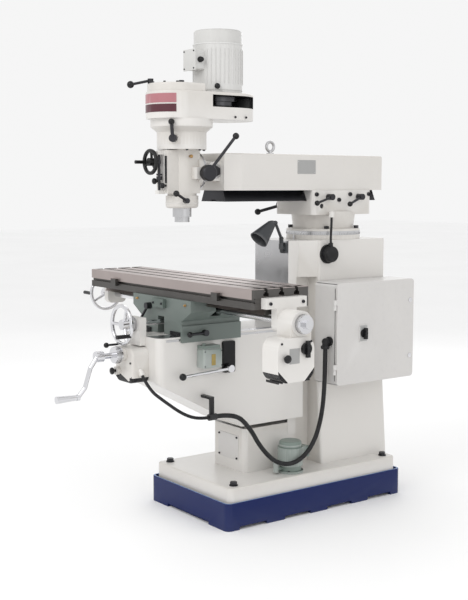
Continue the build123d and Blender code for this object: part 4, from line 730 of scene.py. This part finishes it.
def table_details():
    bracket_x = 0.703
    for letter, side in SIDES:
        spots = [Vector((side * bracket_x, LEAD.y + y, z))
                 for reach, z in ((0.085, 1.062), (0.036, 0.975)) for y in (-reach, reach)]
        cap_screws(f"bracket_screws_{letter}", spots, X * side, 0.007, "table")
    dial("lead_dial_left", (-0.7035, LEAD.y, LEAD.z), -X, 0.0372, 0.024, "lead_screw")
    dial("lead_dial_right", (0.8005, LEAD.y, LEAD.z), X, 0.0392, 0.022, "lead_screw")
    lo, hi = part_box("table_power_feed")
    fins = bmesh.new()
    for k in range(9):
        slab_into(fins, (0.751, lo.y + 0.012 + k * 0.020, lo.z + 0.002), (0.080, 0.004, 0.010))
    finish_piece("feed_fins", fins, "black_plastic", "table", bevel=0.0008)
    plate("feed_panel", (hi.x + 0.0005, -0.556, 0.858), (0.062, 0.052, 0.0016), X, "plate_grey", "table")
    lathe("feed_speed_knob", knob_profile(0.017, 0.026), (hi.x, -0.604, 0.852), X, "black_plastic",
          "table", sides=36)
    spots = [Vector((hi.x, y, z)) for y in (-0.622, -0.470) for z in (0.775, 0.912)]
    cap_screws("feed_case_screws", spots, X, 0.0045, "table")


# =============================================================================
# Cords
# =============================================================================


def spline_points(route):
    """Points along the smooth curve that has the route as its control points."""
    curve = bpy.data.curves.new("route", "CURVE")
    curve.dimensions = "3D"
    curve.resolution_u = 60
    spline = curve.splines.new("NURBS")
    spline.points.add(len(route) - 1)
    for point, place in zip(spline.points, route):
        point.co = (*place, 1)
    spline.order_u = 3
    spline.use_endpoint_u = True
    holder = bpy.data.objects.new("route", curve)
    mesh = bpy.data.meshes.new_from_object(holder)
    points = [v.co.copy() for v in mesh.vertices]
    bpy.data.objects.remove(holder)
    return points


def ribbed_tube(name, route, diameter, rib, body=None):
    """A rubber hose along the route, with a shallow rib every `rib` metres, and the points it follows."""
    points = spline_points(route)
    around, rib_depth = 20, 0.07
    bm = bmesh.new()
    side = None
    rings = []
    run = 0.0
    for i, here in enumerate(points):
        ahead = points[min(i + 1, len(points) - 1)] - points[max(i - 1, 0)]
        ahead.normalize()
        side = (side - ahead * side.dot(ahead)).normalized() if side else ahead.orthogonal().normalized()
        up = ahead.cross(side)
        if i:
            run += (here - points[i - 1]).length
        wave = 0.5 + 0.5 * math.cos(2 * math.pi * run / rib)
        r = diameter / 2 * (1 - rib_depth * wave)
        rings.append([bm.verts.new(here + (side * math.cos(a) + up * math.sin(a)) * r)
                      for a in (2 * math.pi * k / around for k in range(around))])
    for low, high in zip(rings, rings[1:]):
        for k in range(around):
            j = (k + 1) % around
            bm.faces.new((low[k], low[j], high[j], high[k]))
    bm.faces.new(list(reversed(rings[0])))
    bm.faces.new(rings[-1])
    return finish_piece(name, bm, "black_rubber", body), points


def cords():
    hose, points = ribbed_tube("coolant_hose", LOOP_ROUTE, 0.022, 0.009)
    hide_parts("loop_hose")
    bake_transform(hose)
    cable, points = ribbed_tube("head_cable", CABLE_ROUTE, 0.012, 0.006)
    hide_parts("motor_cable")
    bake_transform(cable)
    conduit, points = ribbed_tube("feed_conduit", CONDUIT_ROUTE, 0.015, 0.007, "knee")
    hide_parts("knee_conduit")


for build in (motor_details, belt_housing_details, quill_housing_details, swivel_details, ram_details,
              turret_details, column_details, cabinet_details, base_details, knee_details, saddle_details,
              table_details, cords):
    build()

# =============================================================================
# Floor, light and camera
# =============================================================================


FLOOR_PALE, FLOOR_PALEST = (0.955,) * 3, (0.975,) * 3
WORLD_STRENGTH = 0.92
LIGHTS = (
    ("key", (1.2, -4.6, 4.6), 80),
    ("fill", (4.8, -0.6, 2.8), 16),
    ("back", (-3.4, 3.2, 3.6), 30),
)
LIGHT_TARGET = Vector((0, -0.2, 1.0))
CAMERA_TARGET = Vector((-0.004, -0.264, 0.996))
CAMERA_AZIMUTH, CAMERA_ELEVATION = math.radians(53.7), math.radians(6.1)
CAMERA_DISTANCE = 5.098
CAMERA_LENS = 64.56


def floor():
    bm = bmesh.new()
    bmesh.ops.create_grid(bm, x_segments=4, y_segments=4, size=30)
    mesh = bpy.data.meshes.new("floor")
    bm.to_mesh(mesh)
    bm.free()
    s = Shader("floor")
    s.link(s.ramp(s.noise(0.6, 2), FLOOR_PALE, FLOOR_PALEST), s.bsdf.inputs["Base Color"])
    s.set(Roughness=0.9)
    mesh.materials.append(s.material)
    ground = bpy.data.objects.new("floor", mesh)
    bpy.context.scene.collection.objects.link(ground)


def area_light(name, place, power):
    data = bpy.data.lights.new(name, "AREA")
    data.shape = "RECTANGLE"
    data.size = data.size_y = 2.6
    data.energy = power
    light = bpy.data.objects.new(name, data)
    light.location = place
    light.rotation_euler = (LIGHT_TARGET - Vector(place)).to_track_quat("-Z", "Y").to_euler()
    bpy.context.scene.collection.objects.link(light)


def studio():
    world = bpy.data.worlds.new("studio")
    world.use_nodes = True
    background = world.node_tree.nodes["Background"]
    background.inputs["Color"].default_value = (1, 1, 1, 1)
    background.inputs["Strength"].default_value = WORLD_STRENGTH
    bpy.context.scene.world = world
    for name, place, power in LIGHTS:
        area_light(name, place, power)
    bpy.context.scene.view_settings.view_transform = "Standard"


def camera():
    data = bpy.data.cameras.new("camera")
    data.sensor_width = 36
    data.lens = CAMERA_LENS
    data.clip_end = 100
    cam = bpy.data.objects.new("camera", data)
    level = math.cos(CAMERA_ELEVATION)
    back = Vector((math.sin(CAMERA_AZIMUTH) * level, -math.cos(CAMERA_AZIMUTH) * level,
                   math.sin(CAMERA_ELEVATION)))
    cam.location = CAMERA_TARGET + back * CAMERA_DISTANCE
    cam.rotation_euler = (-back).to_track_quat("-Z", "Y").to_euler()
    bpy.context.scene.collection.objects.link(cam)
    bpy.context.scene.camera = cam


floor()
studio()
camera()
